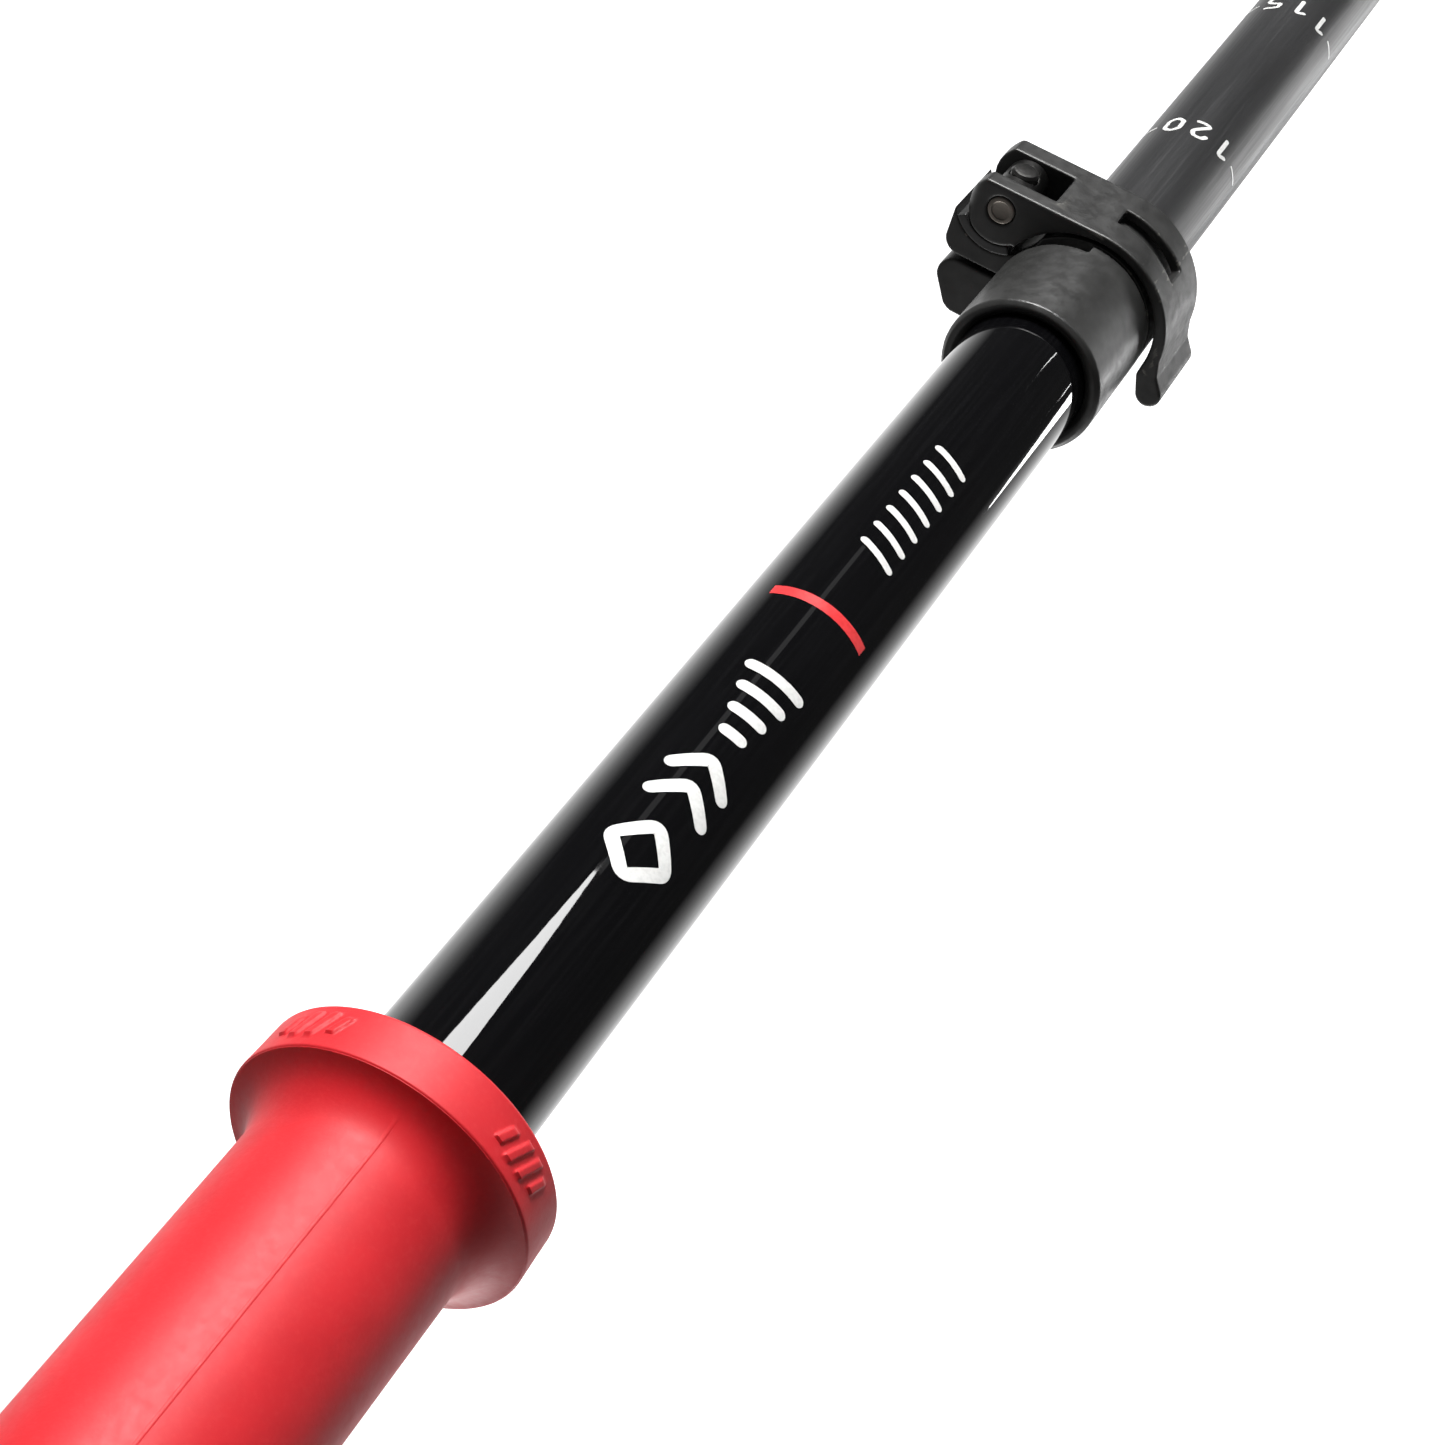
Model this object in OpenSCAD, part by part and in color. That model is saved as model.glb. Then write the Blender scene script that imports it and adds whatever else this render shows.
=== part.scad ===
// Telescopic ski touring pole with an external lever clamp.
// +Z runs up the pole from the point of the tip; the clamp's hinge pin lies on the -X side.

/* [Pole] */
// Length from the tip to the top of the grip, as set
pole_length = 1231; // [1180:1:1290]
// Length of the lower shaft tube
lower_shaft_length = 820; // [780:5:840]
// Bare upper shaft between the lower grip and the clamp collar
bare_shaft_length = 148.5; // [100:0.5:180]

/* [Shafts] */
// Outer diameter of the upper shaft
upper_shaft_d = 18; // [16:0.5:22]
// Wall of the upper shaft
upper_wall = 0.85; // [0.7:0.05:1.2]
// Radial play between the lower shaft and the upper shaft's bore
tube_play = 0.15; // [0.1:0.05:0.3]
// Wall of the lower shaft
lower_wall = 0.9; // [0.7:0.05:1.2]
// Radial play of the guide plug in the upper shaft's bore
guide_play = 0.05; // [0.03:0.01:0.1]
// Length of the guide plug above the lower shaft
guide_length = 12; // [8:1:20]

/* [Lower grip] */
// Wall of the lower grip over the upper shaft
grip_wall = 2.6; // [1.5:0.1:5]
// Length of the lower grip, flange included
lower_grip_length = 244.5; // [160:0.5:280]
// Outer diameter of the end flange
flange_d = 32; // [28:0.5:40]
// Length of the flange's round band
flange_band = 5.9; // [4:0.1:10]
// Radius of the cove between flange and grip
cove_r = 5; // [3:0.5:6]

/* [Handle] */
// Length of the hard core below the head
core_length = 82; // [60:1:100]
// Wall of the hard core
core_wall = 2; // [1.5:0.1:3]
// Least rubber wall over the core
handle_wall = 2.9; // [2:0.1:5]
// How far the palm swell stands out
palm_swell = 3.2; // [1:0.1:5]
// Head diameter
head_d = 40; // [38:0.5:46]
// Height of the head's side
head_height = 23; // [20:1:30]
// Height of the cap
cap_height = 21; // [16:1:28]

/* [Strap] */
// Width of the wrist strap webbing
strap_w = 20; // [15:1:22]
// Thickness of the webbing
strap_t = 1.6; // [1.2:0.1:2]
// How far the loop hangs below its slot
strap_drop = 150; // [100:5:200]
// Thickness of the wrist pad
pad_t = 3; // [2:0.5:5]
// Width of the wrist pad
pad_w = 34; // [24:1:40]
// Length of the wedge along X
wedge_l = 8; // [6:0.5:8]

/* [Clamp collar] */
// Wall of the collar over the upper shaft
collar_wall = 2.2; // [1.6:0.1:3]
// Length of the collar above the clamp, on the hinge side
collar_length = 17.3; // [14:0.1:24]
// Extra collar length on the side away from the hinge
collar_step = 1.7; // [1:0.1:2]
// Wall of the slotted skirt under the band
skirt_wall = 1.2; // [0.9:0.1:1.6]
// Radial play between skirt and lower shaft
skirt_play = 0.1; // [0.05:0.05:0.2]
// Number of slots in the skirt
skirt_slots = 4; // [3:1:6]
// Height of the lip that keeps the band on the skirt
lip_height = 1.8; // [1:0.1:3]

/* [Clamp band] */
// Thickness of the clamp band
band_wall = 1.8; // [1.2:0.1:2.4]
// Height of the band along the pole
band_height = 13; // [11:0.5:16]
// Slit between the two lugs
band_slit = 0.8; // [0.5:0.1:1.5]
// How far the lugs reach past the hinge pin
lug_reach = 6.2; // [5.6:0.1:7]
// Depth of the lower lug below the shaft's axis
lug_depth = 8.8; // [8.4:0.1:10]

/* [Clamp lever] */
// Height of the lever along the pole
lever_height = 13.6; // [12:0.1:16]
// Gap between the lever's wrap and the band
wrap_gap = 0.55; // [0.4:0.05:1]
// Wall of the wrap at the top
wrap_wall = 1.3; // [1.2:0.1:2.5]
// Upper cheek of the fork
cheek_top = 2.8; // [2:0.1:3.5]
// Lower cheek of the fork
cheek_bottom = 3.4; // [2:0.1:4]
// Largest reach of the cam from the hinge pin
cam_reach = 5.25; // [4.9:0.05:5.6]
// Offset of the cam from the hinge pin
cam_throw = 0.3; // [0.2:0.05:0.6]
// Height of the slot in the wrap
wrap_slot = 3.8; // [2:0.1:6]
// Length of the thumb tab
tab_length = 5.2; // [4:0.1:10]

/* [Hinge and screw] */
// Distance from the clamp band's outside to the hinge pin's middle, along X
pin_offset = 2.95; // [2.85:0.05:3.85]
// Depth of the hinge pin below the lever's flat top
pin_depth = 3.5; // [3.1:0.1:4]
// Diameter of the hinge pins
pin_d = 4; // [3:0.1:4.2]
// Radial running play of the hinge pins
pin_play = 0.05; // [0.02:0.01:0.09]
// Diameter of the barrel nut
barrel_d = 6.2; // [6:0.1:6.4]
// Diameter of the tension screw
screw_d = 4; // [3:0.5:4]
// Diameter of the screw's head
screw_head_d = 6.4; // [6:0.1:6.6]
// Wall of the cam seat
seat_wall = 1.3; // [1:0.1:1.5]

/* [Tip] */
// Diameter of the basket
basket_d = 104; // [90:1:120]
// Height of the basket's hub above the tip
basket_z = 62; // [55:1:70]
// Number of openings in the basket
basket_openings = 6; // [4:1:8]
// Diameter of the tip seat that takes a rubber protector
tip_seat_d = 11; // [10:0.5:12]
// Length of the tip seat
tip_seat_length = 26; // [20:1:30]
// Length of the steel holder below the tip seat
holder_length = 10; // [8:1:14]
// How far the carbide stands out
carbide_length = 6; // [4:1:8]

/* [Hidden] */
$fn = 96;
cut = 1;          // overshoot of every cutting shape
soft_gap = 0.4;   // space kept between strap parts and the hard parts
fit_gap = 0.3;    // space between parts that move past each other
core_plate = 2;   // plate that closes the handle core under the head
rubber_side = 3;  // rubber wall round the head

// shafts
upper_r = upper_shaft_d / 2;
upper_bore_r = upper_r - upper_wall;
lower_r = upper_bore_r - tube_play;
lower_bore_r = lower_r - lower_wall;

// heights along the pole
handle_length = core_length + core_plate + head_height + cap_height;
handle_z = pole_length - handle_length;
flange_z = handle_z - lower_grip_length;
collar_top_z = flange_z - bare_shaft_length;
collar_foot_z = collar_top_z - collar_length;
core_top_z = handle_z + core_length;
head_z = core_top_z + core_plate;
cap_z = head_z + head_height;

// grips
grip_r = upper_r + grip_wall;
flange_r = flange_d / 2;
core_r = upper_r + core_wall;
head_r = head_d / 2;
head_core_r = head_r - rubber_side;

// clamp: the band sits under the collar's long side
band_gap = 0.6;
band_top_z = collar_foot_z - collar_step - band_gap;
band_z = band_top_z - band_height;
skirt_bore_r = lower_r + skirt_play;
skirt_r = skirt_bore_r + skirt_wall;
collar_r = upper_r + collar_wall;
band_play = 0.05;
band_bore_r = skirt_r + band_play;
band_r = band_bore_r + band_wall;
band_foot_gap = 0.2;
lip_reach = 1.1;
lip_edge = 0.6;
lip_z = band_z - band_foot_gap - lip_height;
lip_r = skirt_r + lip_reach;
slit_y = -0.3;

// lever: its inner and outer arcs have centres below the shaft's axis
wrap_drop = 0.3;
wrap_bore_r = band_r + wrap_gap + wrap_drop;
shell_drop = 0.9;
lever_top_y = wrap_bore_r - wrap_drop + wrap_wall;
shell_r = lever_top_y + shell_drop;
lever_rise = 0.2;   // the lever stands this much above the band
lever_z = band_top_z + lever_rise - lever_height;
fork_z = lever_z + cheek_bottom;
fork_height = lever_height - cheek_top - cheek_bottom;
fork_mid_z = fork_z + fork_height / 2;
fork_reach = 6.1;   // from the hinge pin to the fork's root
tab_r = 1.85;
lever_inner_x = 0.9 * wrap_bore_r;

// hinge, cam and screw
pin_r = pin_d / 2;
pin_x = band_r + pin_offset;
pin_y = lever_top_y - pin_depth;
pin_at = [-pin_x, pin_y];
cam_r = cam_reach - cam_throw;
cam_gap = 0.12;
seat_bore_r = cam_reach + cam_gap;
seat_r = seat_bore_r + seat_wall;
seat_from = 214;
seat_to = 298;
barrel_r = barrel_d / 2;
barrel_gap = 0.15;
barrel_length = fork_height - 2 * barrel_gap;
pin_sink = 1.3;
screw_r = screw_d / 2;
thread_play = 0.05;
screw_play = 0.2;
screw_head_r = screw_head_d / 2;
screw_head_h = 2.4;
socket_af = 2.5;
socket_depth = 1.4;
washer_t = 0.5;
head_gap = 0.3;
head_pocket_r = screw_head_r + head_gap;
head_sink = 0.2;
head_pocket_y = -lug_depth + screw_head_h + washer_t + head_sink;

// cap screw, off the axis so that the wedge has room
cap_screw_x = -6;
cap_screw_r = 2;
cap_screw_head_r = 3.6;
cap_screw_head_h = 3;
cap_screw_sink = 8;
cap_screw_length = 26;
cap_socket_af = 3;
cap_socket_depth = 2;

// strap
slot_rise = 13;
slot_z = head_z + slot_rise;
slot_h = 2 * strap_t + 2 * soft_gap;
wedge_half = strap_w / 2 + soft_gap;
slot_half = wedge_half + soft_gap;
pocket_x = 3;
pocket_l = wedge_l + 2 * fit_gap;
wedge_z = slot_z + slot_h;
wedge_sink = 2.5;
strap_foot_z = slot_z - strap_drop;
strap_stand_off = 4;
loop_width = 27;
meet_drop = 22;
out_bend_drop = 45;
out_bend_in = 2;
strap_in_x = head_r + strap_stand_off;
strap_out_x = strap_in_x + loop_width;
strap_mid_z = slot_z + slot_h / 2;
strap_meet_z = slot_z - meet_drop;
pad_inset = 6;
keeper_wall = 1.4;
keeper_height = 8;
keeper_rise = 2;

// tip
holder_r = 4.6;
holder_taper = 0.8;
carbide_r = 2.6;
carbide_point_r = 1.3;
carbide_cone = 3;
carbide_hollow = 1;
carbide_seat = 6;
tip_edge = 0.5;
seat_foot_z = carbide_length + holder_length;
seat_top_z = seat_foot_z + tip_seat_length;
tip_seat_r = tip_seat_d / 2;
hub_seat_r = tip_seat_r + 1;
hub_height = 10;
hub_collar = 1.5;
hub_collar_height = 3;
hub_taper = 3;
ferrule_height = 46;
ferrule_wall = 1;
ferrule_sleeve = 14;
ferrule_cone = 8;
ferrule_top_z = basket_z + ferrule_height;
ferrule_r = lower_r + ferrule_wall;
lower_foot_z = ferrule_top_z - ferrule_sleeve;
lower_top_z = lower_foot_z + lower_shaft_length;
plug_length = 24;
basket_r = basket_d / 2;
hub_r = 10.5;
hub_flange = 5;
rim_r = 1.9;
rim_flat = 2.5;
spoke_w = 5;
dish_drop = 7;
dish_t = 1.8;

// A ring of one bore and one outside radius, standing on the given height
module tube(r_out, r_in, z, h) {
    translate([0, 0, z]) difference() {
        cylinder(r = r_out, h = h);
        translate([0, 0, -cut]) cylinder(r = r_in, h = h + 2 * cut);
    }
}

// Two discs joined by their outer tangents, whose ends stand just inside the discs
module strut(p, p_r, q, q_r) {
    weld = 0.995;
    turn = atan2(q.y - p.y, q.x - p.x);
    lean = acos((p_r - q_r) / norm(q - p));
    translate(p) circle(r = p_r);
    translate(q) circle(r = q_r);
    polygon([
        p + weld * p_r * [cos(turn + lean), sin(turn + lean)],
        p + weld * p_r * [cos(turn - lean), sin(turn - lean)],
        q + weld * q_r * [cos(turn - lean), sin(turn - lean)],
        q + weld * q_r * [cos(turn + lean), sin(turn + lean)]
    ]);
}

// A wedge of the plane between two angles, out to the given radius
module sector(r, from, to) {
    steps = 8;
    polygon(concat([[0, 0]], [
        for (i = [0 : steps])
            let (a = from + (to - from) * i / steps)
                r * [cos(a), sin(a)]
    ]));
}

// ---- upper section ----

module upper_shaft() {
    color([0.05, 0.05, 0.06])
        tube(upper_r, upper_bore_r, collar_foot_z, core_top_z - collar_foot_z);
}

// Quarter circle between the flange band and the grip
function cove(steps = 10) = [
    for (i = [0 : steps])
        let (a = 270 - 90 * i / steps)
            [grip_r + cove_r * (1 + cos(a)), flange_z + flange_band + cove_r * (1 + sin(a))]
];

module lower_grip() {
    edge = 0.8;
    color([0.85, 0.13, 0.15]) rotate_extrude() polygon(concat(
        [
            [upper_r, flange_z],
            [flange_r - edge, flange_z],
            [flange_r, flange_z + edge],
            [flange_r, flange_z + flange_band - edge],
            [flange_r - edge / 2, flange_z + flange_band]
        ],
        [for (p = cove()) if (p.x < flange_r - edge / 2) p],
        [
            [grip_r, handle_z - edge / 2],
            [grip_r - edge / 2, handle_z],
            [upper_r, handle_z]
        ]
    ));
}

module handle_core() {
    color([0.07, 0.07, 0.08]) difference() {
        union() {
            tube(core_r, upper_r, handle_z, core_length);
            translate([0, 0, core_top_z]) cylinder(r = core_r, h = core_plate + cut);
            translate([0, 0, head_z]) cylinder(r = head_core_r, h = head_height);
        }
        wedge_pocket();
        cap_screw_hole();
    }
}

// The pocket the wedge slides in and the strap's slot through the head's +X side
module wedge_pocket() {
    translate([pocket_x, -slot_half, slot_z]) cube([pocket_l, 2 * slot_half, pole_length - slot_z + cut]);
    translate([pocket_x, -slot_half, slot_z]) cube([head_r + cut, 2 * slot_half, slot_h]);
}

// Handle's radius at a share of its height: a palm swell over a straight grip
function handle_r(share) = core_r + handle_wall + palm_swell * (1 - cos(360 * share)) / 2;

module handle_rubber() {
    steps = 24;
    edge = 1.5;
    neck = 4;
    shoulder = [2, 3];
    shoulder_h = 7;
    color([0.85, 0.13, 0.15]) difference() {
        rotate_extrude() polygon(concat(
            [[core_r, handle_z], [core_r + handle_wall - edge, handle_z]],
            [
                for (i = [0 : steps])
                    [handle_r(i / steps), handle_z + edge + (core_length - edge - neck) * i / steps]
            ],
            [
                [head_r - shoulder.x, head_z + shoulder.y],
                [head_r, head_z + shoulder_h],
                [head_r, cap_z],
                [head_core_r, cap_z],
                [head_core_r, head_z],
                [core_r, head_z]
            ]
        ));
        wedge_pocket();
    }
}

module handle_cap() {
    dome = [18, 14];
    steps = 12;
    color([0.07, 0.07, 0.08]) difference() {
        translate([0, 0, cap_z]) rotate_extrude() polygon(concat(
            [[0, 0], [head_r, 0]],
            [
                for (i = [0 : steps])
                    let (a = 90 * i / steps)
                        [head_r - dome.x + dome.x * cos(a), cap_height - dome.y + dome.y * sin(a)]
            ],
            [[0, cap_height]]
        ));
        wedge_pocket();
        cap_screw_hole();
    }
}

// Clearance for the cap screw: a bore for its shank and a wider one over its head
module cap_screw_hole() {
    translate([cap_screw_x, 0, pole_length - cap_screw_sink - cap_screw_length])
        cylinder(r = cap_screw_r, h = cap_screw_length + cap_screw_sink);
    translate([cap_screw_x, 0, pole_length - cap_screw_sink])
        cylinder(r = cap_screw_head_r + screw_play, h = cap_screw_sink + cut);
}

module cap_screw() {
    color([0.6, 0.6, 0.62]) translate([cap_screw_x, 0, pole_length - cap_screw_sink]) difference() {
        union() {
            translate([0, 0, -cap_screw_length]) cylinder(r = cap_screw_r, h = cap_screw_length);
            cylinder(r = cap_screw_head_r, h = cap_screw_head_h);
        }
        translate([0, 0, cap_screw_head_h - cap_socket_depth])
            cylinder(r = cap_socket_af / sqrt(3), h = cap_socket_depth + cut, $fn = 6);
    }
}

// ---- wrist strap ----

// The wedge stands in its pocket and presses on both layers of the webbing
module strap_wedge() {
    rib = 0.8;
    rib_pitch = 2.4;
    wedge_top_z = pole_length - wedge_sink;
    color([0.1, 0.1, 0.11]) difference() {
        translate([pocket_x + fit_gap, -wedge_half, wedge_z])
            cube([wedge_l, 2 * wedge_half, wedge_top_z - wedge_z]);
        for (i = [-1 : 1])
            translate([pocket_x + fit_gap + wedge_l / 2 + rib_pitch * i, 0, wedge_top_z])
                rotate([90, 0, 0]) cylinder(r = rib, h = 2 * wedge_half + cut, center = true);
    }
}

// Path of the loop's middle line in the XZ plane, from the slot round and back
in_top = [strap_in_x, strap_meet_z];
loop_r = loop_width / 2;
in_foot = [strap_in_x, strap_foot_z + loop_r];
out_foot = [strap_out_x, strap_foot_z + loop_r];
out_mid = [strap_out_x - out_bend_in, strap_meet_z - out_bend_drop];
tail_end = [pocket_x + strap_t + soft_gap, strap_mid_z];
tail_bend = [strap_in_x + strap_t / 2, strap_mid_z];
tail_join = [tail_bend.x, strap_meet_z];
run_turn = (out_mid - out_foot) / norm(out_mid - out_foot);
run_side = [-run_turn.y, run_turn.x];

module strap_profile(t) {
    strut(tail_end, strap_t, tail_bend, strap_t);
    strut(tail_bend, strap_t, tail_join, strap_t);
    strut(in_top, t, in_foot, t);
    strut(tail_join + [strap_t / 2, 0], t, out_mid, t);
    strut(out_mid, t, out_foot, t);
    translate([in_foot.x + loop_r, in_foot.y]) difference() {
        circle(r = loop_r + t);
        circle(r = loop_r - t);
        translate([-2 * loop_r, 0]) square(4 * loop_r);
    }
}

module along_y(w) {
    rotate([90, 0, 0]) linear_extrude(height = w, center = true) children();
}

module strap_webbing() {
    color([0.09, 0.09, 0.1]) along_y(strap_w) strap_profile(strap_t / 2);
}

// The pad lines the outer run of the loop, on the wrist's side
pad_offset = (strap_t + pad_t) / 2;
pad_low = out_foot + pad_inset * run_turn + pad_offset * run_side;
pad_high = out_mid - pad_inset * run_turn + pad_offset * run_side;

module strap_pad() {
    color([0.16, 0.16, 0.17]) along_y(pad_w) strut(pad_low, pad_t / 2, pad_high, pad_t / 2);
}

// A slider that holds both runs together below the head
module strap_keeper() {
    inside = [2 * strap_t, strap_w, keeper_height + 2 * cut];
    outside = [inside.x + 2 * keeper_wall, inside.y + 2 * keeper_wall, keeper_height];
    color([0.12, 0.12, 0.13]) translate([tail_bend.x, 0, strap_meet_z + keeper_rise]) difference() {
        translate([-outside.x / 2, -outside.y / 2, 0]) cube(outside);
        translate([-inside.x / 2, -inside.y / 2, -cut]) cube(inside);
    }
}

// ---- clamp ----

module clamp_collar() {
    edge = 0.6;
    slot_w = 1.5;
    slot_turn = 45;
    top_lip = 0.9;
    relief_x = 0.5;
    color([0.2, 0.2, 0.21]) difference() {
        rotate_extrude() polygon([
            [upper_r, collar_foot_z],
            [upper_r, collar_top_z - top_lip],
            [upper_r + top_lip, collar_top_z],
            [collar_r - edge, collar_top_z],
            [collar_r, collar_top_z - edge],
            [collar_r, collar_foot_z - collar_step],
            [skirt_r, collar_foot_z - collar_step],
            [skirt_r, lip_z + lip_height],
            [lip_r, lip_z + lip_height],
            [lip_r, lip_z + lip_edge],
            [lip_r - lip_edge, lip_z],
            [skirt_bore_r, lip_z],
            [skirt_bore_r, collar_foot_z]
        ]);
        // relief over the lugs and the fork
        translate([-collar_r - cut, -collar_r - cut, collar_foot_z - collar_step - cut]) difference() {
            cube([collar_r + cut - relief_x, 2 * (collar_r + cut), collar_step + cut]);
            translate([collar_r + cut, collar_r + cut, -cut]) cylinder(r = skirt_r, h = collar_step + 3 * cut);
        }
        for (i = [0 : skirt_slots - 1])
            rotate([0, 0, slot_turn + 360 * i / skirt_slots])
                translate([0, -slot_w / 2, lip_z - cut])
                    cube([collar_r + cut, slot_w, band_top_z - lip_z]);
    }
}

// Outlines of the two lugs, before the slit, the cradle and the bore are cut
module band_lugs() {
    upper_round = 2.4;
    lower_round = 2.6;
    lower_set_back = 0.5;
    foot_reach = 1.4;
    web_turn = 47.4;
    web_inside = 0.993;   // the web's top corner stays just inside the band's outline
    web = web_inside * band_r * [cos(web_turn), sin(web_turn)];
    web_foot_x = band_r - 4.65;
    ring_x = band_bore_r - 0.2;
    reach = pin_x + lug_reach;
    upper_low = [-reach + upper_round, slit_y + band_slit / 2 + upper_round];
    lower_high = [-reach + lower_set_back + lower_round, slit_y - band_slit / 2 - lower_round];
    lower_low = [-pin_x - foot_reach, -lug_depth + lower_round];
    strut(upper_low, upper_round, [upper_low.x, pin_y], upper_round);
    polygon([
        [upper_low.x, slit_y],
        [upper_low.x, pin_y],
        [-pin_x, pin_y],
        [-web.x, web.y],
        [-ring_x, slit_y]
    ]);
    strut(lower_high, lower_round, lower_low, lower_round);
    polygon([
        [-ring_x, slit_y],
        [-web_foot_x, -lug_depth],
        [lower_low.x, -lug_depth],
        [lower_high.x, slit_y]
    ]);
}

module clamp_band() {
    color([0.22, 0.22, 0.23]) difference() {
        translate([0, 0, band_z]) union() {
            cylinder(r = band_r, h = band_height);
            linear_extrude(height = band_height) band_lugs();
        }
        translate([0, 0, band_z - cut]) cylinder(r = band_bore_r, h = band_height + 2 * cut);
        translate([-pin_x, pin_y, band_z - cut]) cylinder(r = seat_r, h = band_height + 2 * cut);
        translate([-2 * pin_x, slit_y - band_slit / 2, band_z - cut])
            cube([2 * pin_x, band_slit, band_height + 2 * cut]);
        screw_line(screw_r + screw_play, -lug_depth - cut, pin_y);
        screw_line(head_pocket_r, -lug_depth - cut, head_pocket_y);
    }
}

// A cylinder on the tension screw's line, between two values of Y
module screw_line(r, from, to) {
    translate([-pin_x, from, fork_mid_z]) rotate([-90, 0, 0]) cylinder(r = r, h = to - from);
}

module cam_seat() {
    color([0.17, 0.17, 0.17]) difference() {
        translate([-pin_x, pin_y, band_z]) linear_extrude(height = band_height) intersection() {
            difference() {
                circle(r = seat_r);
                circle(r = seat_bore_r);
            }
            sector(2 * seat_r, seat_from, seat_to);
        }
        screw_line(screw_r + screw_play, slit_y, pin_y);
    }
}

// Lever seen along Y: its two corners at the hinge end are round
module lever_plan() {
    corner = 2.6;
    reach = pin_x + cam_reach;
    translate([-reach + corner, 0]) square([reach - corner + 2 * shell_r, lever_height]);
    translate([-reach, corner]) square([2 * corner, lever_height - 2 * corner]);
    for (z = [corner, lever_height - corner]) translate([-reach + corner, z]) circle(r = corner);
}

// Side view of the lever: cam disc, flat top, wrap round the shaft, thumb tab
module lever_outline() {
    web_drop = 3.5;
    tab_root_r = 0.93;
    tab_knee_r = 1.5;
    tab_turn = -63.4;
    tab_root = [wrap_bore_r + tab_root_r, -shell_drop];
    tab_knee = [wrap_bore_r + 1.1, -wrap_drop - 3.7];
    tab_tip = tab_knee + tab_length / 2 * [cos(tab_turn), sin(tab_turn)];
    difference() {
        union() {
            intersection() {
                translate(pin_at - [0, cam_throw]) circle(r = cam_r);
                translate([-2 * pin_x, -pin_x]) square([2 * pin_x, pin_x + lever_top_y]);
            }
            translate([-pin_x, pin_y - web_drop]) square([pin_x, lever_top_y - pin_y + web_drop]);
            translate([-lever_inner_x, 0]) square([lever_inner_x, lever_top_y]);
            intersection() {
                translate([0, -shell_drop]) circle(r = shell_r);
                translate([-cut / 10, -shell_drop]) square(2 * shell_r);
            }
            strut(tab_root, tab_root_r, tab_knee, tab_knee_r);
            strut(tab_knee, tab_knee_r, tab_tip, tab_r);
        }
        translate([0, -wrap_drop]) circle(r = wrap_bore_r);
    }
}

module clamp_lever() {
    slot_from = 38;
    slot_to = 88;
    color([0.23, 0.23, 0.24]) difference() {
        intersection() {
            translate([0, 0, lever_z]) linear_extrude(height = lever_height) lever_outline();
            translate([0, 2 * pin_x, lever_z]) rotate([90, 0, 0])
                linear_extrude(height = 4 * pin_x) lever_plan();
        }
        // fork slot, open at the hinge end
        translate([-2 * pin_x, -pin_x, fork_z]) cube([pin_x + fork_reach, 3 * pin_x, fork_height]);
        // slot in the wrap
        intersection() {
            translate([0, 0, lever_z + (lever_height - wrap_slot) / 2]) linear_extrude(height = wrap_slot)
                sector(2 * shell_r, slot_from, slot_to);
            translate([0, -shell_drop, 0]) cylinder(r = shell_r + cut, h = pole_length);
        }
        translate([-pin_x, pin_y, lever_z - cut]) cylinder(r = pin_r + pin_play, h = lever_height + 2 * cut);
    }
}

module barrel_nut() {
    color([0.5, 0.5, 0.5]) difference() {
        translate([-pin_x, pin_y, fork_z + barrel_gap]) cylinder(r = barrel_r, h = barrel_length);
        for (z = [fork_z + barrel_gap - cut, fork_z + barrel_gap + barrel_length - pin_sink])
            translate([-pin_x, pin_y, z]) cylinder(r = pin_r, h = pin_sink + cut);
        screw_line(screw_r + thread_play, pin_y - barrel_r - cut, pin_y + barrel_r + cut);
    }
}

module hinge_pins() {
    color([0.75, 0.75, 0.74]) translate([-pin_x, pin_y, 0]) {
        translate([0, 0, lever_z]) cylinder(r = pin_r, h = cheek_bottom + barrel_gap + pin_sink);
        translate([0, 0, fork_z + fork_height - barrel_gap - pin_sink])
            cylinder(r = pin_r, h = cheek_top + barrel_gap + pin_sink);
    }
}

module tension_screw() {
    head_foot_y = head_pocket_y - washer_t - screw_head_h;
    color([0.6, 0.6, 0.6]) difference() {
        union() {
            screw_line(screw_r, head_foot_y + screw_head_h, lever_top_y);
            screw_line(screw_head_r, head_foot_y, head_foot_y + screw_head_h);
        }
        translate([-pin_x, head_foot_y - cut, fork_mid_z]) rotate([-90, 0, 0])
            cylinder(r = socket_af / sqrt(3), h = socket_depth + cut, $fn = 6);
    }
}

module screw_washer() {
    color([0.68, 0.68, 0.68]) difference() {
        screw_line(screw_head_r, head_pocket_y - washer_t, head_pocket_y);
        screw_line(screw_r + screw_play, head_pocket_y - washer_t - cut, head_pocket_y + cut);
    }
}

// ---- lower section ----

module lower_shaft() {
    color([0.13, 0.13, 0.14]) tube(lower_r, lower_bore_r, lower_foot_z, lower_shaft_length);
}

module guide_plug() {
    color([0.1, 0.1, 0.1]) {
        translate([0, 0, lower_top_z - guide_length]) cylinder(r = lower_bore_r, h = guide_length);
        translate([0, 0, lower_top_z]) cylinder(r = upper_bore_r - guide_play, h = guide_length);
    }
}

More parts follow.
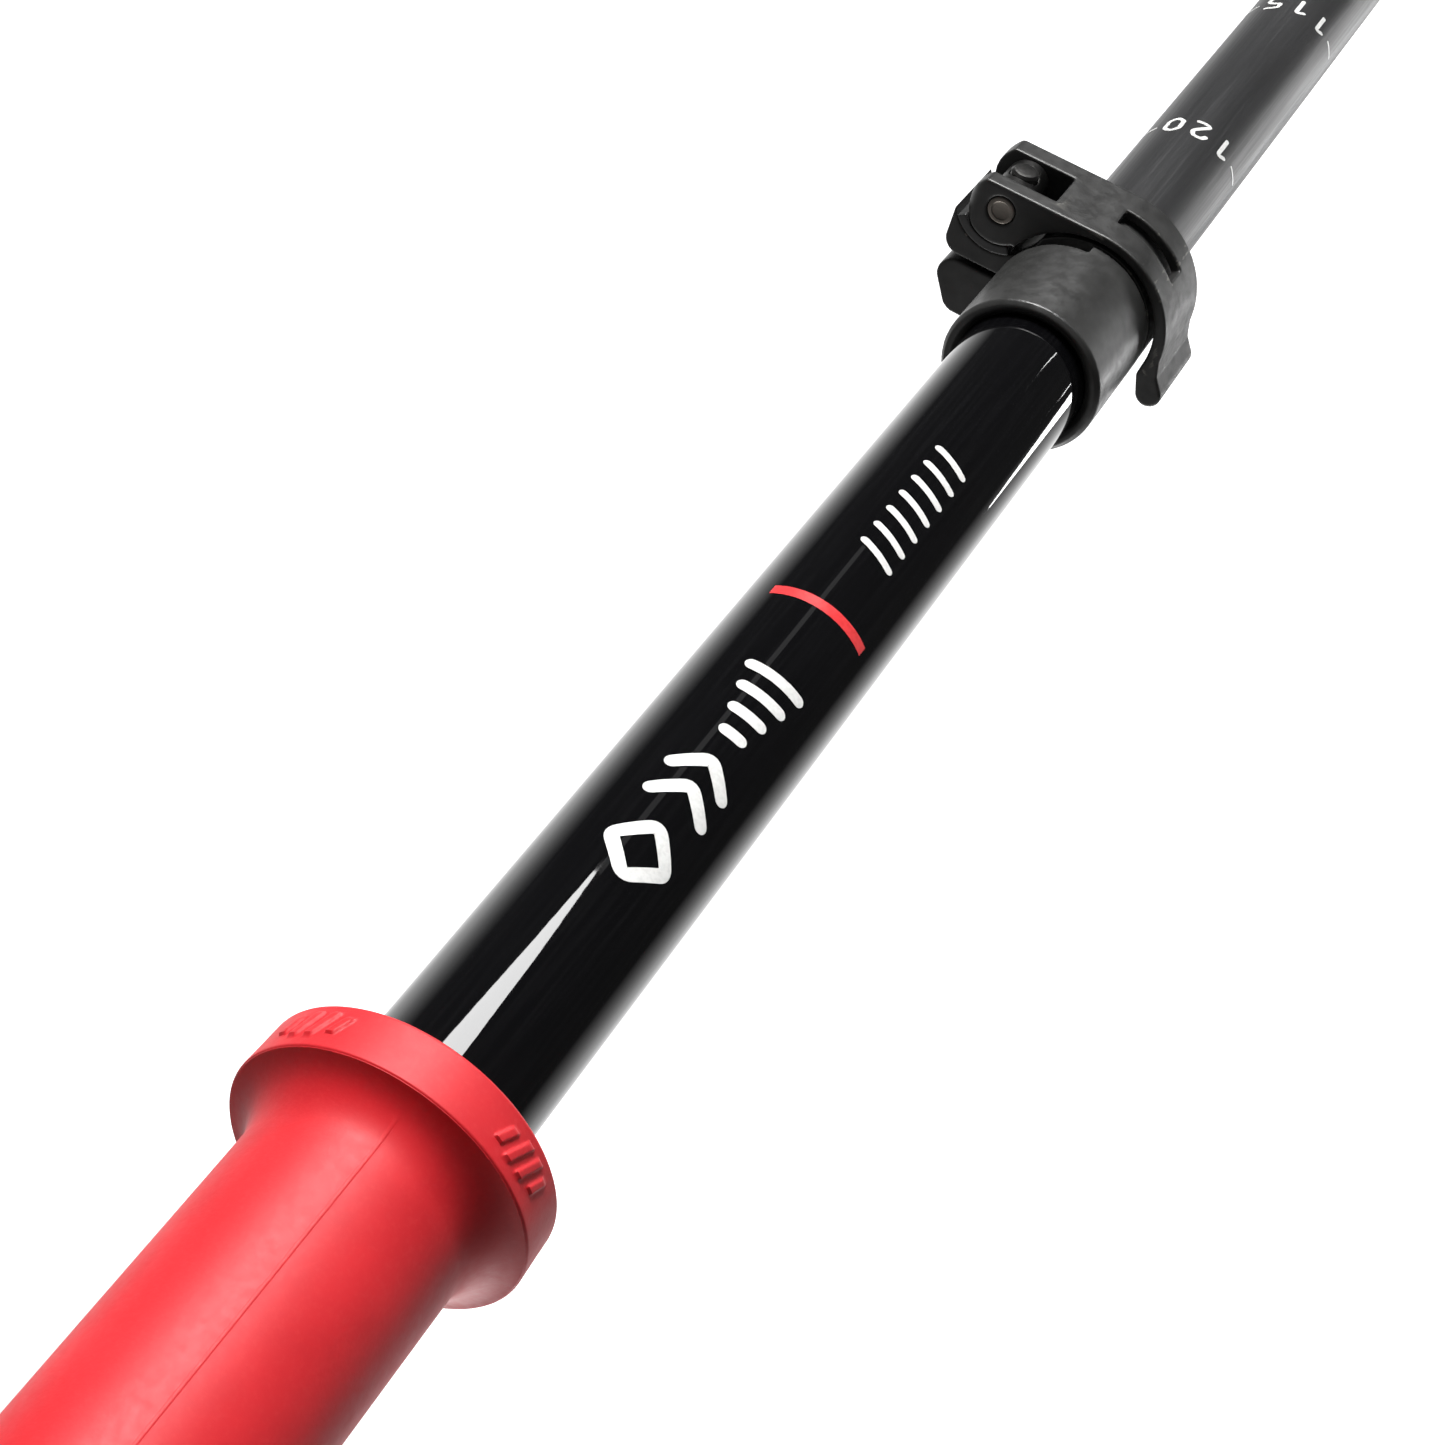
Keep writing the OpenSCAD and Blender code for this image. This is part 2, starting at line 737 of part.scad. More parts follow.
// The ferrule plugs into the shaft, tapers to the basket's seat and ends at the tip seat
module tip_ferrule() {
    hub_top_z = basket_z + hub_height;
    color([0.08, 0.08, 0.09]) rotate_extrude() polygon([
        [0, seat_foot_z],
        [tip_seat_r - tip_edge, seat_foot_z],
        [tip_seat_r, seat_foot_z + tip_edge],
        [tip_seat_r, seat_top_z],
        [hub_seat_r, seat_top_z + hub_taper],
        [hub_seat_r, hub_top_z],
        [hub_seat_r + hub_collar, hub_top_z],
        [hub_seat_r + hub_collar, hub_top_z + hub_collar_height],
        [ferrule_r, lower_foot_z - ferrule_cone],
        [ferrule_r, lower_foot_z],
        [lower_bore_r, lower_foot_z],
        [lower_bore_r, lower_foot_z + plug_length],
        [0, lower_foot_z + plug_length]
    ]);
}

module basket() {
    span = 360 / basket_openings;
    inner_r = hub_r + hub_flange;
    outer_r = basket_r - 2 * rim_r - rim_flat;
    color([0.1, 0.1, 0.11]) difference() {
        union() {
            tube(hub_r, hub_seat_r, basket_z, hub_height);
            // dish from the hub out to the rim
            rotate_extrude() polygon([
                [hub_seat_r, basket_z + dish_drop],
                [hub_r, basket_z + dish_drop],
                [basket_r - rim_r, basket_z],
                [basket_r - rim_r, basket_z + dish_t],
                [hub_r, basket_z + dish_drop + dish_t],
                [hub_seat_r, basket_z + dish_drop + dish_t]
            ]);
            translate([0, 0, basket_z + dish_t / 2]) rotate_extrude()
                translate([basket_r - rim_r, 0]) circle(r = rim_r, $fn = 32);
        }
        for (i = [0 : basket_openings - 1]) rotate([0, 0, span * i])
            translate([0, 0, basket_z - 2 * cut]) linear_extrude(height = hub_height + 4 * cut)
                difference() {
                    intersection() {
                        sector(2 * basket_r, 0, span);
                        difference() {
                            circle(r = outer_r);
                            circle(r = inner_r);
                        }
                    }
                    translate([0, -spoke_w / 2]) square([basket_r, spoke_w]);
                    rotate(span) translate([0, -spoke_w / 2]) square([basket_r, spoke_w]);
                }
    }
}

module tip_holder() {
    color([0.55, 0.55, 0.56]) difference() {
        translate([0, 0, carbide_length])
            cylinder(r1 = holder_r - holder_taper, r2 = holder_r, h = holder_length);
        translate([0, 0, carbide_length - cut]) cylinder(r = carbide_r, h = carbide_seat + cut);
    }
}

// The carbide ends in a short cone with a hollow point
module carbide_tip() {
    color([0.4, 0.4, 0.42]) rotate_extrude() polygon([
        [0, carbide_hollow],
        [carbide_point_r, 0],
        [carbide_r, carbide_cone],
        [carbide_r, carbide_length + carbide_seat],
        [0, carbide_length + carbide_seat]
    ]);
}

upper_shaft();
lower_grip();
handle_core();
handle_rubber();
handle_cap();
cap_screw();
strap_wedge();
strap_webbing();
strap_pad();
strap_keeper();
clamp_collar();
clamp_band();
cam_seat();
clamp_lever();
barrel_nut();
hinge_pins();
tension_screw();
screw_washer();
lower_shaft();
guide_plug();
tip_ferrule();
basket();
tip_holder();
carbide_tip();
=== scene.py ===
import math

import bmesh
import bpy
import numpy as np
from mathutils import Matrix, Vector

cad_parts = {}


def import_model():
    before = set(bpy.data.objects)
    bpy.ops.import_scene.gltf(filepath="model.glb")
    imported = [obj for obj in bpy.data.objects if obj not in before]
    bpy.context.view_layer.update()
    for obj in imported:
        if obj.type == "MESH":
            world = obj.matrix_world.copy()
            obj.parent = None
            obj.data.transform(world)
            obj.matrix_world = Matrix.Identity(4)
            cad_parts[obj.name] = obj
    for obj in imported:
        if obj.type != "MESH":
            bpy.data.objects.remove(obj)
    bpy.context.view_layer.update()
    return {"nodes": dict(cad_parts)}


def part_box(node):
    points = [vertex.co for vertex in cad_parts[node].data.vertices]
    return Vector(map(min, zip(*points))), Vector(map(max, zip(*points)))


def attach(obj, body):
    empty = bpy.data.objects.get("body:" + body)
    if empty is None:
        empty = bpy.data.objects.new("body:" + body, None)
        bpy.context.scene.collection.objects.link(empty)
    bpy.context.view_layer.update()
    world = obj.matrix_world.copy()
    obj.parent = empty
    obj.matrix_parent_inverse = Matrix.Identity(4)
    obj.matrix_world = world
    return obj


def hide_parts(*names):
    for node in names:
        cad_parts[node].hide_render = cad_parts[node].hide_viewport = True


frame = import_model()

MM = 0.001
nodes = frame["nodes"]


def low(node):
    """A CAD node's lowest corner in millimetres."""
    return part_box(node)[0] / MM


def high(node):
    """A CAD node's highest corner in millimetres."""
    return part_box(node)[1] / MM


# Sizes and heights, in millimetres, taken from the frame
SHAFT_R = high("upper_shaft").x
TUBE_R = high("lower_shaft").x
FLANGE_R = high("lower_grip").x
FLANGE_Z = low("lower_grip").z
HANDLE_Z = high("lower_grip").z
HEAD_R = high("handle_rubber").x
CAP_Z = low("handle_cap").z
TOP_Z = high("handle_cap").z
COLLAR_TOP = high("clamp_collar").z
TUBE_LOW, TUBE_HIGH = low("lower_shaft").z, high("lower_shaft").z
LOOP_HIGH_X = high("strap_webbing").x
LOOP_LOW_Z = low("strap_webbing").z
SLOT_MID_Z = high("strap_webbing").z - 1.6
PAD_HALF = high("strap_pad").y

# The cap's dome is a quarter ellipse of this radius and height, turned round the pole
DOME_R, DOME_H = 18, 14

# The ring mark on the bare shaft is the place that the marks and the camera are measured from
RING_Z = COLLAR_TOP + 68
FRONT = 75.5


# ---- mesh helpers ----

def unit(v):
    return v / np.linalg.norm(v)


def rounded(points, radius, steps=5, closed=True):
    """An outline with its corners rounded; radius is one number, or one for each point."""
    pts = [np.array(p, float) for p in points]
    radii = [radius] * len(pts) if np.isscalar(radius) else radius
    made = []
    for i, p in enumerate(pts):
        ends = not closed and i in (0, len(pts) - 1)
        a, b = pts[i - 1] - p, pts[(i + 1) % len(pts)] - p
        if ends or radii[i] <= 0:
            made.append(p)
            continue
        u, v = unit(a), unit(b)
        half = math.acos(np.clip(u @ v, -1, 1)) / 2
        reach = min(radii[i] / math.tan(half), 0.48 * min(np.linalg.norm(a), np.linalg.norm(b)))
        for s in np.linspace(0, 1, steps + 1):
            made.append((1 - s) ** 2 * (p + u * reach) + 2 * s * (1 - s) * p + s * s * (p + v * reach))
    return np.array(made)


def resampled(points, spacing, closed=False):
    """The same line with points no further apart than spacing."""
    pts = np.array(points, float)
    ends = np.roll(pts, -1, 0) if closed else pts[1:]
    made = []
    for a, b in zip(pts, ends):
        count = max(1, math.ceil(np.linalg.norm(b - a) / spacing))
        made.extend(a + (b - a) * k / count for k in range(count))
    if not closed:
        made.append(pts[-1])
    return np.array(made)


def even_angles(count):
    return np.linspace(0, 2 * math.pi, count, endpoint=False)


def grid_faces(rows, columns, wrap_rows=False, wrap_columns=False):
    """Faces of a grid of points, joined up round either way if asked."""
    faces = []
    for i in range(rows if wrap_rows else rows - 1):
        for j in range(columns if wrap_columns else columns - 1):
            k, m = (i + 1) % rows, (j + 1) % columns
            faces.append((i * columns + j, i * columns + m, k * columns + m, k * columns + j))
    return faces


def capped_tube(rows, columns):
    """Faces of a tube made of rings of points, closed at both ends."""
    faces = grid_faces(rows, columns, False, True)
    faces.append(tuple(range(columns)))
    faces.append(tuple(rows * columns - 1 - i for i in range(columns)))
    return faces


def lathe(outline, angles=192, closed=True, shape=None):
    """An outline of (radius, height) turned round Z. shape(radius, angle, height) changes the radius."""
    turn = even_angles(angles) if np.isscalar(angles) else np.asarray(angles)
    pts = np.asarray(outline, float)
    r = np.repeat(pts[:, :1], len(turn), 1)
    z = np.repeat(pts[:, 1:], len(turn), 1)
    a = np.repeat(turn[None, :], len(pts), 0)
    if shape is not None:
        r = r + shape(r, a, z)
    verts = np.stack([r * np.cos(a), r * np.sin(a), z], -1).reshape(-1, 3)
    return verts, grid_faces(len(pts), len(turn), closed, True)


def joined(*meshes):
    """Several (vertices, faces) as one."""
    verts, faces, first = [], [], 0
    for v, f in meshes:
        verts.append(np.asarray(v))
        faces.extend(tuple(i + first for i in face) for face in f)
        first += len(v)
    return np.concatenate(verts), faces


def placed(name, data):
    """A new object in the scene with that data."""
    obj = bpy.data.objects.new(name, data)
    bpy.context.scene.collection.objects.link(obj)
    return obj


def made_object(name, mesh_data):
    """A mesh object from (vertices, faces) in millimetres, with clean normals."""
    verts, faces = mesh_data
    mesh = bpy.data.meshes.new(name)
    mesh.from_pydata((np.asarray(verts) * MM).tolist(), [], faces)
    bm = bmesh.new()
    bm.from_mesh(mesh)
    bmesh.ops.remove_doubles(bm, verts=bm.verts, dist=0.002 * MM)
    bmesh.ops.recalc_face_normals(bm, faces=bm.faces)
    bm.to_mesh(mesh)
    bm.free()
    return placed(name, mesh)


def applied(obj):
    """The object with its modifiers turned into its mesh."""
    shown = obj.evaluated_get(bpy.context.evaluated_depsgraph_get())
    mesh = bpy.data.meshes.new_from_object(shown)
    obj.modifiers.clear()
    obj.data = mesh
    return obj


def cut(obj, *cutters, operation="DIFFERENCE"):
    """obj less the cutters, or what it shares with them. The cutters are removed."""
    for c in cutters:
        m = obj.modifiers.new("cut", "BOOLEAN")
        m.operation, m.solver, m.object = operation, "EXACT", c
    applied(obj)
    for c in cutters:
        bpy.data.objects.remove(c)
    return obj


def finished(obj, material, body, replaces=(), crease=40):
    """Smooth faces with sharp creases, a material and a body; the CAD nodes that it replaces are hidden."""
    obj.data.materials.clear()
    obj.data.materials.append(material)
    obj.data.polygons.foreach_set("use_smooth", [True] * len(obj.data.polygons))
    obj.data.set_sharp_from_angle(angle=math.radians(crease))
    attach(obj, body)
    if replaces:
        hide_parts(*replaces)
    return obj


def softened(name, node, voxel, rounds, keep, extra=()):
    """A CAD node as a casting or moulding, with round edges and fillets. Voxel is in millimetres."""
    mesh = nodes[node].data.copy()
    mesh.transform(Matrix.Scale(1 / MM, 4))
    obj = placed(name, mesh)
    if extra:
        bm = bmesh.new()
        bm.from_mesh(mesh)
        for verts, faces in extra:
            made = [bm.verts.new(v) for v in verts]
            for f in faces:
                bm.faces.new([made[i] for i in f])
        bm.to_mesh(mesh)
        bm.free()
    remesh = obj.modifiers.new("remesh", "REMESH")
    remesh.mode, remesh.voxel_size = "VOXEL", voxel
    smooth = obj.modifiers.new("smooth", "SMOOTH")
    smooth.factor, smooth.iterations = 0.5, rounds
    thin = obj.modifiers.new("thin", "DECIMATE")
    thin.ratio = keep
    applied(obj)
    obj.data.transform(Matrix.Scale(MM, 4))
    return obj


def box_mesh(centre, size):
    """A box's (vertices, faces), for cutters and for ribs that are remeshed."""
    c, h = np.array(centre, float), np.array(size, float) / 2
    corners = [(x, y, z) for x in (-1, 1) for y in (-1, 1) for z in (-1, 1)]
    faces = [(0, 1, 3, 2), (4, 6, 7, 5), (0, 4, 5, 1), (2, 3, 7, 6), (0, 2, 6, 4), (1, 5, 7, 3)]
    return np.array([c + h * k for k in corners]), faces


def soft_cutter(name, centre, size, radius):
    """A box cutter with round edges."""
    obj = made_object(name, box_mesh(centre, size))
    bevel = obj.modifiers.new("round", "BEVEL")
    bevel.width, bevel.segments = radius * MM, 4
    return applied(obj)


# ---- materials ----

def shader(name, colour, roughness, metallic=0.0, **sockets):
    """A material with its Principled shader. Numbers that are the same all over go on its own sockets."""
    material = bpy.data.materials.new(name)
    material.use_nodes = True
    tree = material.node_tree
    bsdf = tree.nodes["Principled BSDF"]
    bsdf.inputs["Base Color"].default_value = (*colour, 1)
    bsdf.inputs["Roughness"].default_value = roughness
    bsdf.inputs["Metallic"].default_value = metallic
    for key, value in sockets.items():
        bsdf.inputs[key.replace("_", " ")].default_value = value
    return material, tree, bsdf


def noise(tree, size, detail=3.0, stretch=(1, 1, 1)):
    """Noise whose blobs are about size millimetres, in the object's own space."""
    where = tree.nodes.new("ShaderNodeTexCoord")
    mapping = tree.nodes.new("ShaderNodeMapping")
    mapping.inputs["Scale"].default_value = stretch
    made = tree.nodes.new("ShaderNodeTexNoise")
    made.inputs["Scale"].default_value = 1 / (size * MM)
    made.inputs["Detail"].default_value = detail
    tree.links.new(where.outputs["Object"], mapping.inputs["Vector"])
    tree.links.new(mapping.outputs["Vector"], made.inputs["Vector"])
    return made.outputs["Fac"]


def cells(tree, size):
    """Small cells of about size millimetres."""
    where = tree.nodes.new("ShaderNodeTexCoord")
    made = tree.nodes.new("ShaderNodeTexVoronoi")
    made.inputs["Scale"].default_value = 1 / (size * MM)
    tree.links.new(where.outputs["Object"], made.inputs["Vector"])
    return made.outputs["Distance"]


def ranged(tree, value, start, end, to_start, to_end):
    """value from start to end, spread over to_start to to_end."""
    made = tree.nodes.new("ShaderNodeMapRange")
    for key, number in zip(("From Min", "From Max", "To Min", "To Max"), (start, end, to_start, to_end)):
        made.inputs[key].default_value = number
    tree.links.new(value, made.inputs["Value"])
    return made.outputs["Result"]


def mixed(tree, factor, first, second):
    """A colour between two, by factor."""
    made = tree.nodes.new("ShaderNodeMix")
    made.data_type = "RGBA"
    tree.links.new(factor, made.inputs["Factor"])
    for key, colour in (("A", first), ("B", second)):
        socket = next(s for s in made.inputs if s.name == key and s.type == "RGBA")
        if isinstance(colour, tuple):
            socket.default_value = (*colour, 1)
        else:
            tree.links.new(colour, socket)
    return next(s for s in made.outputs if s.type == "RGBA")


def bumped(tree, bsdf, heights):
    """Adds a row of bumps, each (height output, depth in millimetres)."""
    normal = None
    for height, depth in heights:
        made = tree.nodes.new("ShaderNodeBump")
        made.inputs["Strength"].default_value = 1.0
        made.inputs["Distance"].default_value = depth * MM
        tree.links.new(height, made.inputs["Height"])
        if normal is not None:
            tree.links.new(normal, made.inputs["Normal"])
        normal = made.outputs["Normal"]
    tree.links.new(normal, bsdf.inputs["Normal"])


def times(tree, first, second):
    """The product of two shader values."""
    product = tree.nodes.new("ShaderNodeMath")
    product.operation = "MULTIPLY"
    tree.links.new(first, product.inputs[0])
    tree.links.new(second, product.inputs[1])
    return product.outputs["Value"]


def worn_edges(tree, colour, lit, reach=(0.52, 0.6)):
    """A painted highlight: colour, turning to the lit colour on sharp outer edges, broken up by noise."""
    geometry = tree.nodes.new("ShaderNodeNewGeometry")
    edge = ranged(tree, geometry.outputs["Pointiness"], *reach, 0.0, 1.0)
    patch = ranged(tree, noise(tree, 1.2, 4), 0.35, 0.6, 0.25, 1.0)
    return mixed(tree, times(tree, edge, patch), colour, lit)


def gloss_carbon():
    """Clear gloss over black, with a trace of the fibres that run along the tube."""
    mat, tree, bsdf = shader("gloss_carbon", (0.003, 0.003, 0.004), 0.35, Coat_Weight=1.0,
                             Coat_Roughness=0.03, Coat_IOR=1.42, Specular_IOR_Level=0.0)
    fibres = noise(tree, 0.35, 2, (1, 1, 0.02))
    tree.links.new(mixed(tree, ranged(tree, fibres, 0.45, 0.7, 0.0, 1.0), (0.0025, 0.0025, 0.003),
                         (0.0050, 0.0050, 0.0056)), bsdf.inputs["Base Color"])
    tree.links.new(ranged(tree, fibres, 0.3, 0.7, 0.28, 0.42), bsdf.inputs["Roughness"])
    peel = tree.nodes.new("ShaderNodeBump")
    peel.inputs["Distance"].default_value = 0.004 * MM
    tree.links.new(noise(tree, 2.6, 1), peel.inputs["Height"])
    tree.links.new(peel.outputs["Normal"], bsdf.inputs["Coat Normal"])
    return mat


def red_rubber():
    """Matt moulded rubber with a fine sparkle-free grain and slight blotches."""
    mat, tree, bsdf = shader("red_rubber", (0.72, 0.014, 0.022), 0.52, Sheen_Weight=0.06, Sheen_Roughness=0.5,
                             Specular_IOR_Level=0.42, Subsurface_Weight=0.08, Subsurface_Scale=0.8 * MM,
                             Subsurface_Radius=(1.0, 0.15, 0.1))
    blotch = noise(tree, 9, 3)
    tone = mixed(tree, ranged(tree, blotch, 0.3, 0.7, 0.0, 1.0), (0.66, 0.011, 0.019), (0.76, 0.016, 0.025))
    tree.links.new(mixed(tree, ranged(tree, noise(tree, 0.5, 3), 0.5, 0.72, 0.0, 0.12), tone,
                         (0.84, 0.065, 0.065)), bsdf.inputs["Base Color"])
    tree.links.new(ranged(tree, noise(tree, 0.8, 4), 0.3, 0.7, 0.50, 0.58), bsdf.inputs["Roughness"])
    bumped(tree, bsdf, [(noise(tree, 3.5, 1), 0.003), (noise(tree, 0.28, 3), 0.012)])
    return mat


def moulded(name, colour, roughness, grain=0.25, depth=0.012, lit=None, **sockets):
    """Moulded or cast dark surface: fine grain, slight tone changes and, where lit is given, a painted
    highlight on sharp outer edges.
    """
    mat, tree, bsdf = shader(name, colour, roughness, **sockets)
    pale = tuple(c * 1.25 for c in colour)
    dim = tuple(c * 0.8 for c in colour)
    tone = mixed(tree, ranged(tree, noise(tree, 4, 4), 0.3, 0.7, 0.0, 1.0), dim, pale)
    # Painted highlight: sharp outer edges are coloured towards the lit colour
    if lit:
        tone = worn_edges(tree, tone, lit)
    tree.links.new(tone, bsdf.inputs["Base Color"])
    tree.links.new(ranged(tree, noise(tree, 1.5, 4), 0.3, 0.7, roughness - 0.06, roughness + 0.08),
                   bsdf.inputs["Roughness"])
    bumped(tree, bsdf, [(noise(tree, 1.8, 2), depth), (noise(tree, grain, 3), depth)])
    return mat


def coated_tube():
    """Matt dark grey coating on a drawn tube, with faint lines along it and broad patches of slightly
    different tone.
    """
    mat, tree, bsdf = shader("coated_tube", (0.040, 0.040, 0.041), 0.36, metallic=0.3)
    lines = noise(tree, 0.25, 3, (1, 1, 0.01))
    patch = noise(tree, 14, 4, (1, 1, 0.4))
    tone = mixed(tree, ranged(tree, patch, 0.3, 0.7, 0.0, 1.0), (0.033, 0.033, 0.034), (0.044, 0.044, 0.045))
    tree.links.new(mixed(tree, ranged(tree, lines, 0.58, 0.75, 0.0, 0.5), tone, (0.070, 0.070, 0.071)),
                   bsdf.inputs["Base Color"])
    tree.links.new(ranged(tree, lines, 0.3, 0.7, 0.32, 0.44), bsdf.inputs["Roughness"])
    bumped(tree, bsdf, [(lines, 0.003), (noise(tree, 0.2, 3), 0.005)])
    return mat


def metal(name, colour, roughness, stretch=(1, 1, 1), depth=0.004):
    """Plated or ground metal with fine lines and small stains."""
    mat, tree, bsdf = shader(name, colour, roughness, metallic=1.0)
    lines = noise(tree, 0.12, 3, stretch)
    stain = ranged(tree, noise(tree, 2.5, 4), 0.35, 0.65, 0.0, 1.0)
    tree.links.new(mixed(tree, stain, tuple(0.75 * c for c in colour), colour), bsdf.inputs["Base Color"])
    tree.links.new(ranged(tree, lines, 0.3, 0.7, roughness - 0.08, roughness + 0.1), bsdf.inputs["Roughness"])
    bumped(tree, bsdf, [(lines, depth)])
    return mat


def printed(name, colour, worn):
    """Screen-printed ink, slightly uneven."""
    mat, tree, bsdf = shader(name, colour, 0.32, Coat_Weight=0.5, Coat_Roughness=0.1)
    patch = ranged(tree, noise(tree, 0.5, 4), 0.35, 0.6, 0.0, 1.0)
    tree.links.new(mixed(tree, patch, worn, colour), bsdf.inputs["Base Color"])
    bumped(tree, bsdf, [(noise(tree, 0.3, 2), 0.002)])
    return mat


def woven(name, dark, light, pitch):
    """Woven nylon: bright threads over dark gaps, with a soft sheen."""
    mat, tree, bsdf = shader(name, dark, 0.75, Sheen_Weight=0.35, Sheen_Roughness=0.4)
    where = tree.nodes.new("ShaderNodeTexCoord")
    waves = []
    for direction in ("Y", "DIAGONAL"):
        wave = tree.nodes.new("ShaderNodeTexWave")
        wave.wave_type, wave.bands_direction = "BANDS", direction
        wave.inputs["Scale"].default_value = 1 / (pitch * MM) / 3.0
        wave.inputs["Distortion"].default_value = 0.6
        wave.inputs["Detail"].default_value = 1.0
        tree.links.new(where.outputs["Object"], wave.inputs["Vector"])
        waves.append(wave.outputs["Fac"])
    both = times(tree, *waves)
    fuzz = noise(tree, 0.15, 3)
    tone = mixed(tree, both, dark, light)
    tree.links.new(mixed(tree, ranged(tree, fuzz, 0.5, 0.75, 0.0, 0.5), tone, light),
                   bsdf.inputs["Base Color"])
    bumped(tree, bsdf, [(both, 0.09), (fuzz, 0.03)])
    return mat


def lining():
    """Brushed lining of the wrist pad."""
    mat, tree, bsdf = shader("pad_lining", (0.05, 0.05, 0.053), 0.9, Sheen_Weight=0.6, Sheen_Roughness=0.5)
    fuzz = noise(tree, 0.22, 5)
    tree.links.new(mixed(tree, ranged(tree, fuzz, 0.35, 0.7, 0.0, 1.0), (0.03, 0.03, 0.032),
                         (0.085, 0.085, 0.09)), bsdf.inputs["Base Color"])
    bumped(tree, bsdf, [(cells(tree, 0.9), 0.08), (fuzz, 0.05)])
    return mat


CARBON = gloss_carbon()
RED = red_rubber()
PLASTIC = moulded("black_plastic", (0.022, 0.022, 0.024), 0.5)
COLLAR = moulded("collar_plastic", (0.031, 0.031, 0.030), 0.35, grain=0.3, depth=0.003,
                 Specular_IOR_Level=0.62)
# The cast clamp pieces get a painted highlight of the lit colour on their sharp outer edges
CAST = moulded("cast_metal", (0.050, 0.050, 0.049), 0.40, grain=0.22, depth=0.007,
               lit=(0.17, 0.165, 0.15), metallic=0.45)
SEAT = moulded("seat_plastic", (0.045, 0.045, 0.045), 0.4, depth=0.005)
TUBE = coated_tube()
STEEL = metal("satin_steel", (0.52, 0.51, 0.48), 0.34)
BLACKENED = metal("blackened_steel", (0.075, 0.074, 0.072), 0.36)
PIN_STEEL = metal("pin_steel", (0.24, 0.215, 0.19), 0.46)
CARBIDE = metal("ground_carbide", (0.26, 0.26, 0.27), 0.3, (1, 1, 0.1), 0.008)
WHITE = printed("white_print", (0.86, 0.86, 0.84), (0.76, 0.76, 0.74))
RED_INK = printed("red_print", (0.86, 0.045, 0.05), (0.78, 0.03, 0.035))
WEBBING = woven("strap_weave", (0.012, 0.012, 0.013), (0.055, 0.055, 0.06), 1.3)
LINING = lining()
THREAD = woven("sewing_thread", (0.16, 0.16, 0.17), (0.42, 0.42, 0.43), 0.35)


# ---- upper section ----

def smooth_step(x, low_end, high_end):
    """0 up to the low end and 1 from the high end on, with a smooth rise between them."""
    t = np.clip((x - low_end) / (high_end - low_end), 0, 1)
    return t * t * (3 - 2 * t)


def turned_by(angle, centre):
    """Signed angle from centre in degrees, from -180 to 180."""
    return (np.degrees(angle) - centre + 180) % 360 - 180


def tube_outline(inner, outer, z_low, z_high, edge=0.25):
    """A tube's wall with chamfered ends; the chamfers stay sharp, so the long faces shade evenly."""
    corners = [(inner, z_low), (outer, z_low), (outer, z_high), (inner, z_high)]
    return rounded(corners, edge, 1)


def shaft():
    bore_r = SHAFT_R - 0.85
    outline = tube_outline(bore_r, SHAFT_R, low("upper_shaft").z, high("upper_shaft").z)
    tube = made_object("upper_shaft_tube", lathe(outline, 160))
    finished(tube, CARBON, "upper_section", ["upper_shaft"])


# The flange band's raised marks: where their middles are, in degrees round the pole
BAND_MARKS = (FRONT + 55, FRONT - 34, FRONT + 180)
PARTING = (FRONT + 9, FRONT - 171)


def grip_relief(r, angle, z):
    """Raised slanted bars on the flange band and a faint parting line along the grip."""
    change = np.zeros_like(r)
    raised = 0.28
    band_mid = FLANGE_Z + 3.0
    on_band = smooth_step(r, FLANGE_R - 0.5, FLANGE_R - 0.1)
    for middle in BAND_MARKS:
        along = np.radians(turned_by(angle, middle)) * FLANGE_R
        for shift, half in ((-3.1, 1.25), (-1.1, 1.75), (0.9, 1.75), (2.9, 1.25)):
            across = np.abs(along - shift - 0.45 * (z - band_mid))
            up = np.abs(z - band_mid)
            bar = raised * on_band * (1 - smooth_step(across, 0.38, 0.62))
            change += bar * (1 - smooth_step(up, half - 0.3, half))
    for middle in PARTING:
        off = np.abs(turned_by(angle, middle))
        on_grip = smooth_step(r, SHAFT_R + 1, SHAFT_R + 2) * (1 - smooth_step(r, FLANGE_R - 4, FLANGE_R - 2))
        change += 0.045 * (1 - smooth_step(off, 0.35, 1.1)) * on_grip
    return change - raised * on_band


def grip():
    """The lower grip's sleeve, with the cove and band of the flange at its end."""
    wall = 2.6
    grip_r = SHAFT_R + wall
    band, cove = 5.9, 5.0
    arc = [
        (grip_r + cove * (1 + math.cos(a)), FLANGE_Z + band + cove * (1 + math.sin(a)))
        for a in np.radians(np.linspace(258, 180, 22))
    ]
    skin = rounded(
        [(SHAFT_R, FLANGE_Z), (FLANGE_R - 0.2, FLANGE_Z), (FLANGE_R, FLANGE_Z + band), arc[0]],
        [0.3, 1.5, 0.55, 0.0], 7, closed=False,
    )
    top = rounded([arc[-1], (grip_r, HANDLE_Z), (SHAFT_R, HANDLE_Z)], [0, 0.6, 0.2], 4, closed=False)
    outline = np.concatenate([
        resampled(skin, 0.22),
        arc[1:-1],
        resampled(top, 6),
    ])
    at_marks = [np.arange(m - 18, m + 18, 0.55) for m in BAND_MARKS]
    at_partings = [np.arange(m - 1.6, m + 1.6, 0.2) for m in PARTING]
    turn = np.concatenate([np.arange(0, 360, 1.8)] + at_marks + at_partings) % 360
    turn = np.unique(np.round(turn, 3))
    obj = made_object("lower_grip_rubber", lathe(outline, np.radians(turn), shape=grip_relief))
    finished(obj, RED, "upper_section", ["lower_grip"])


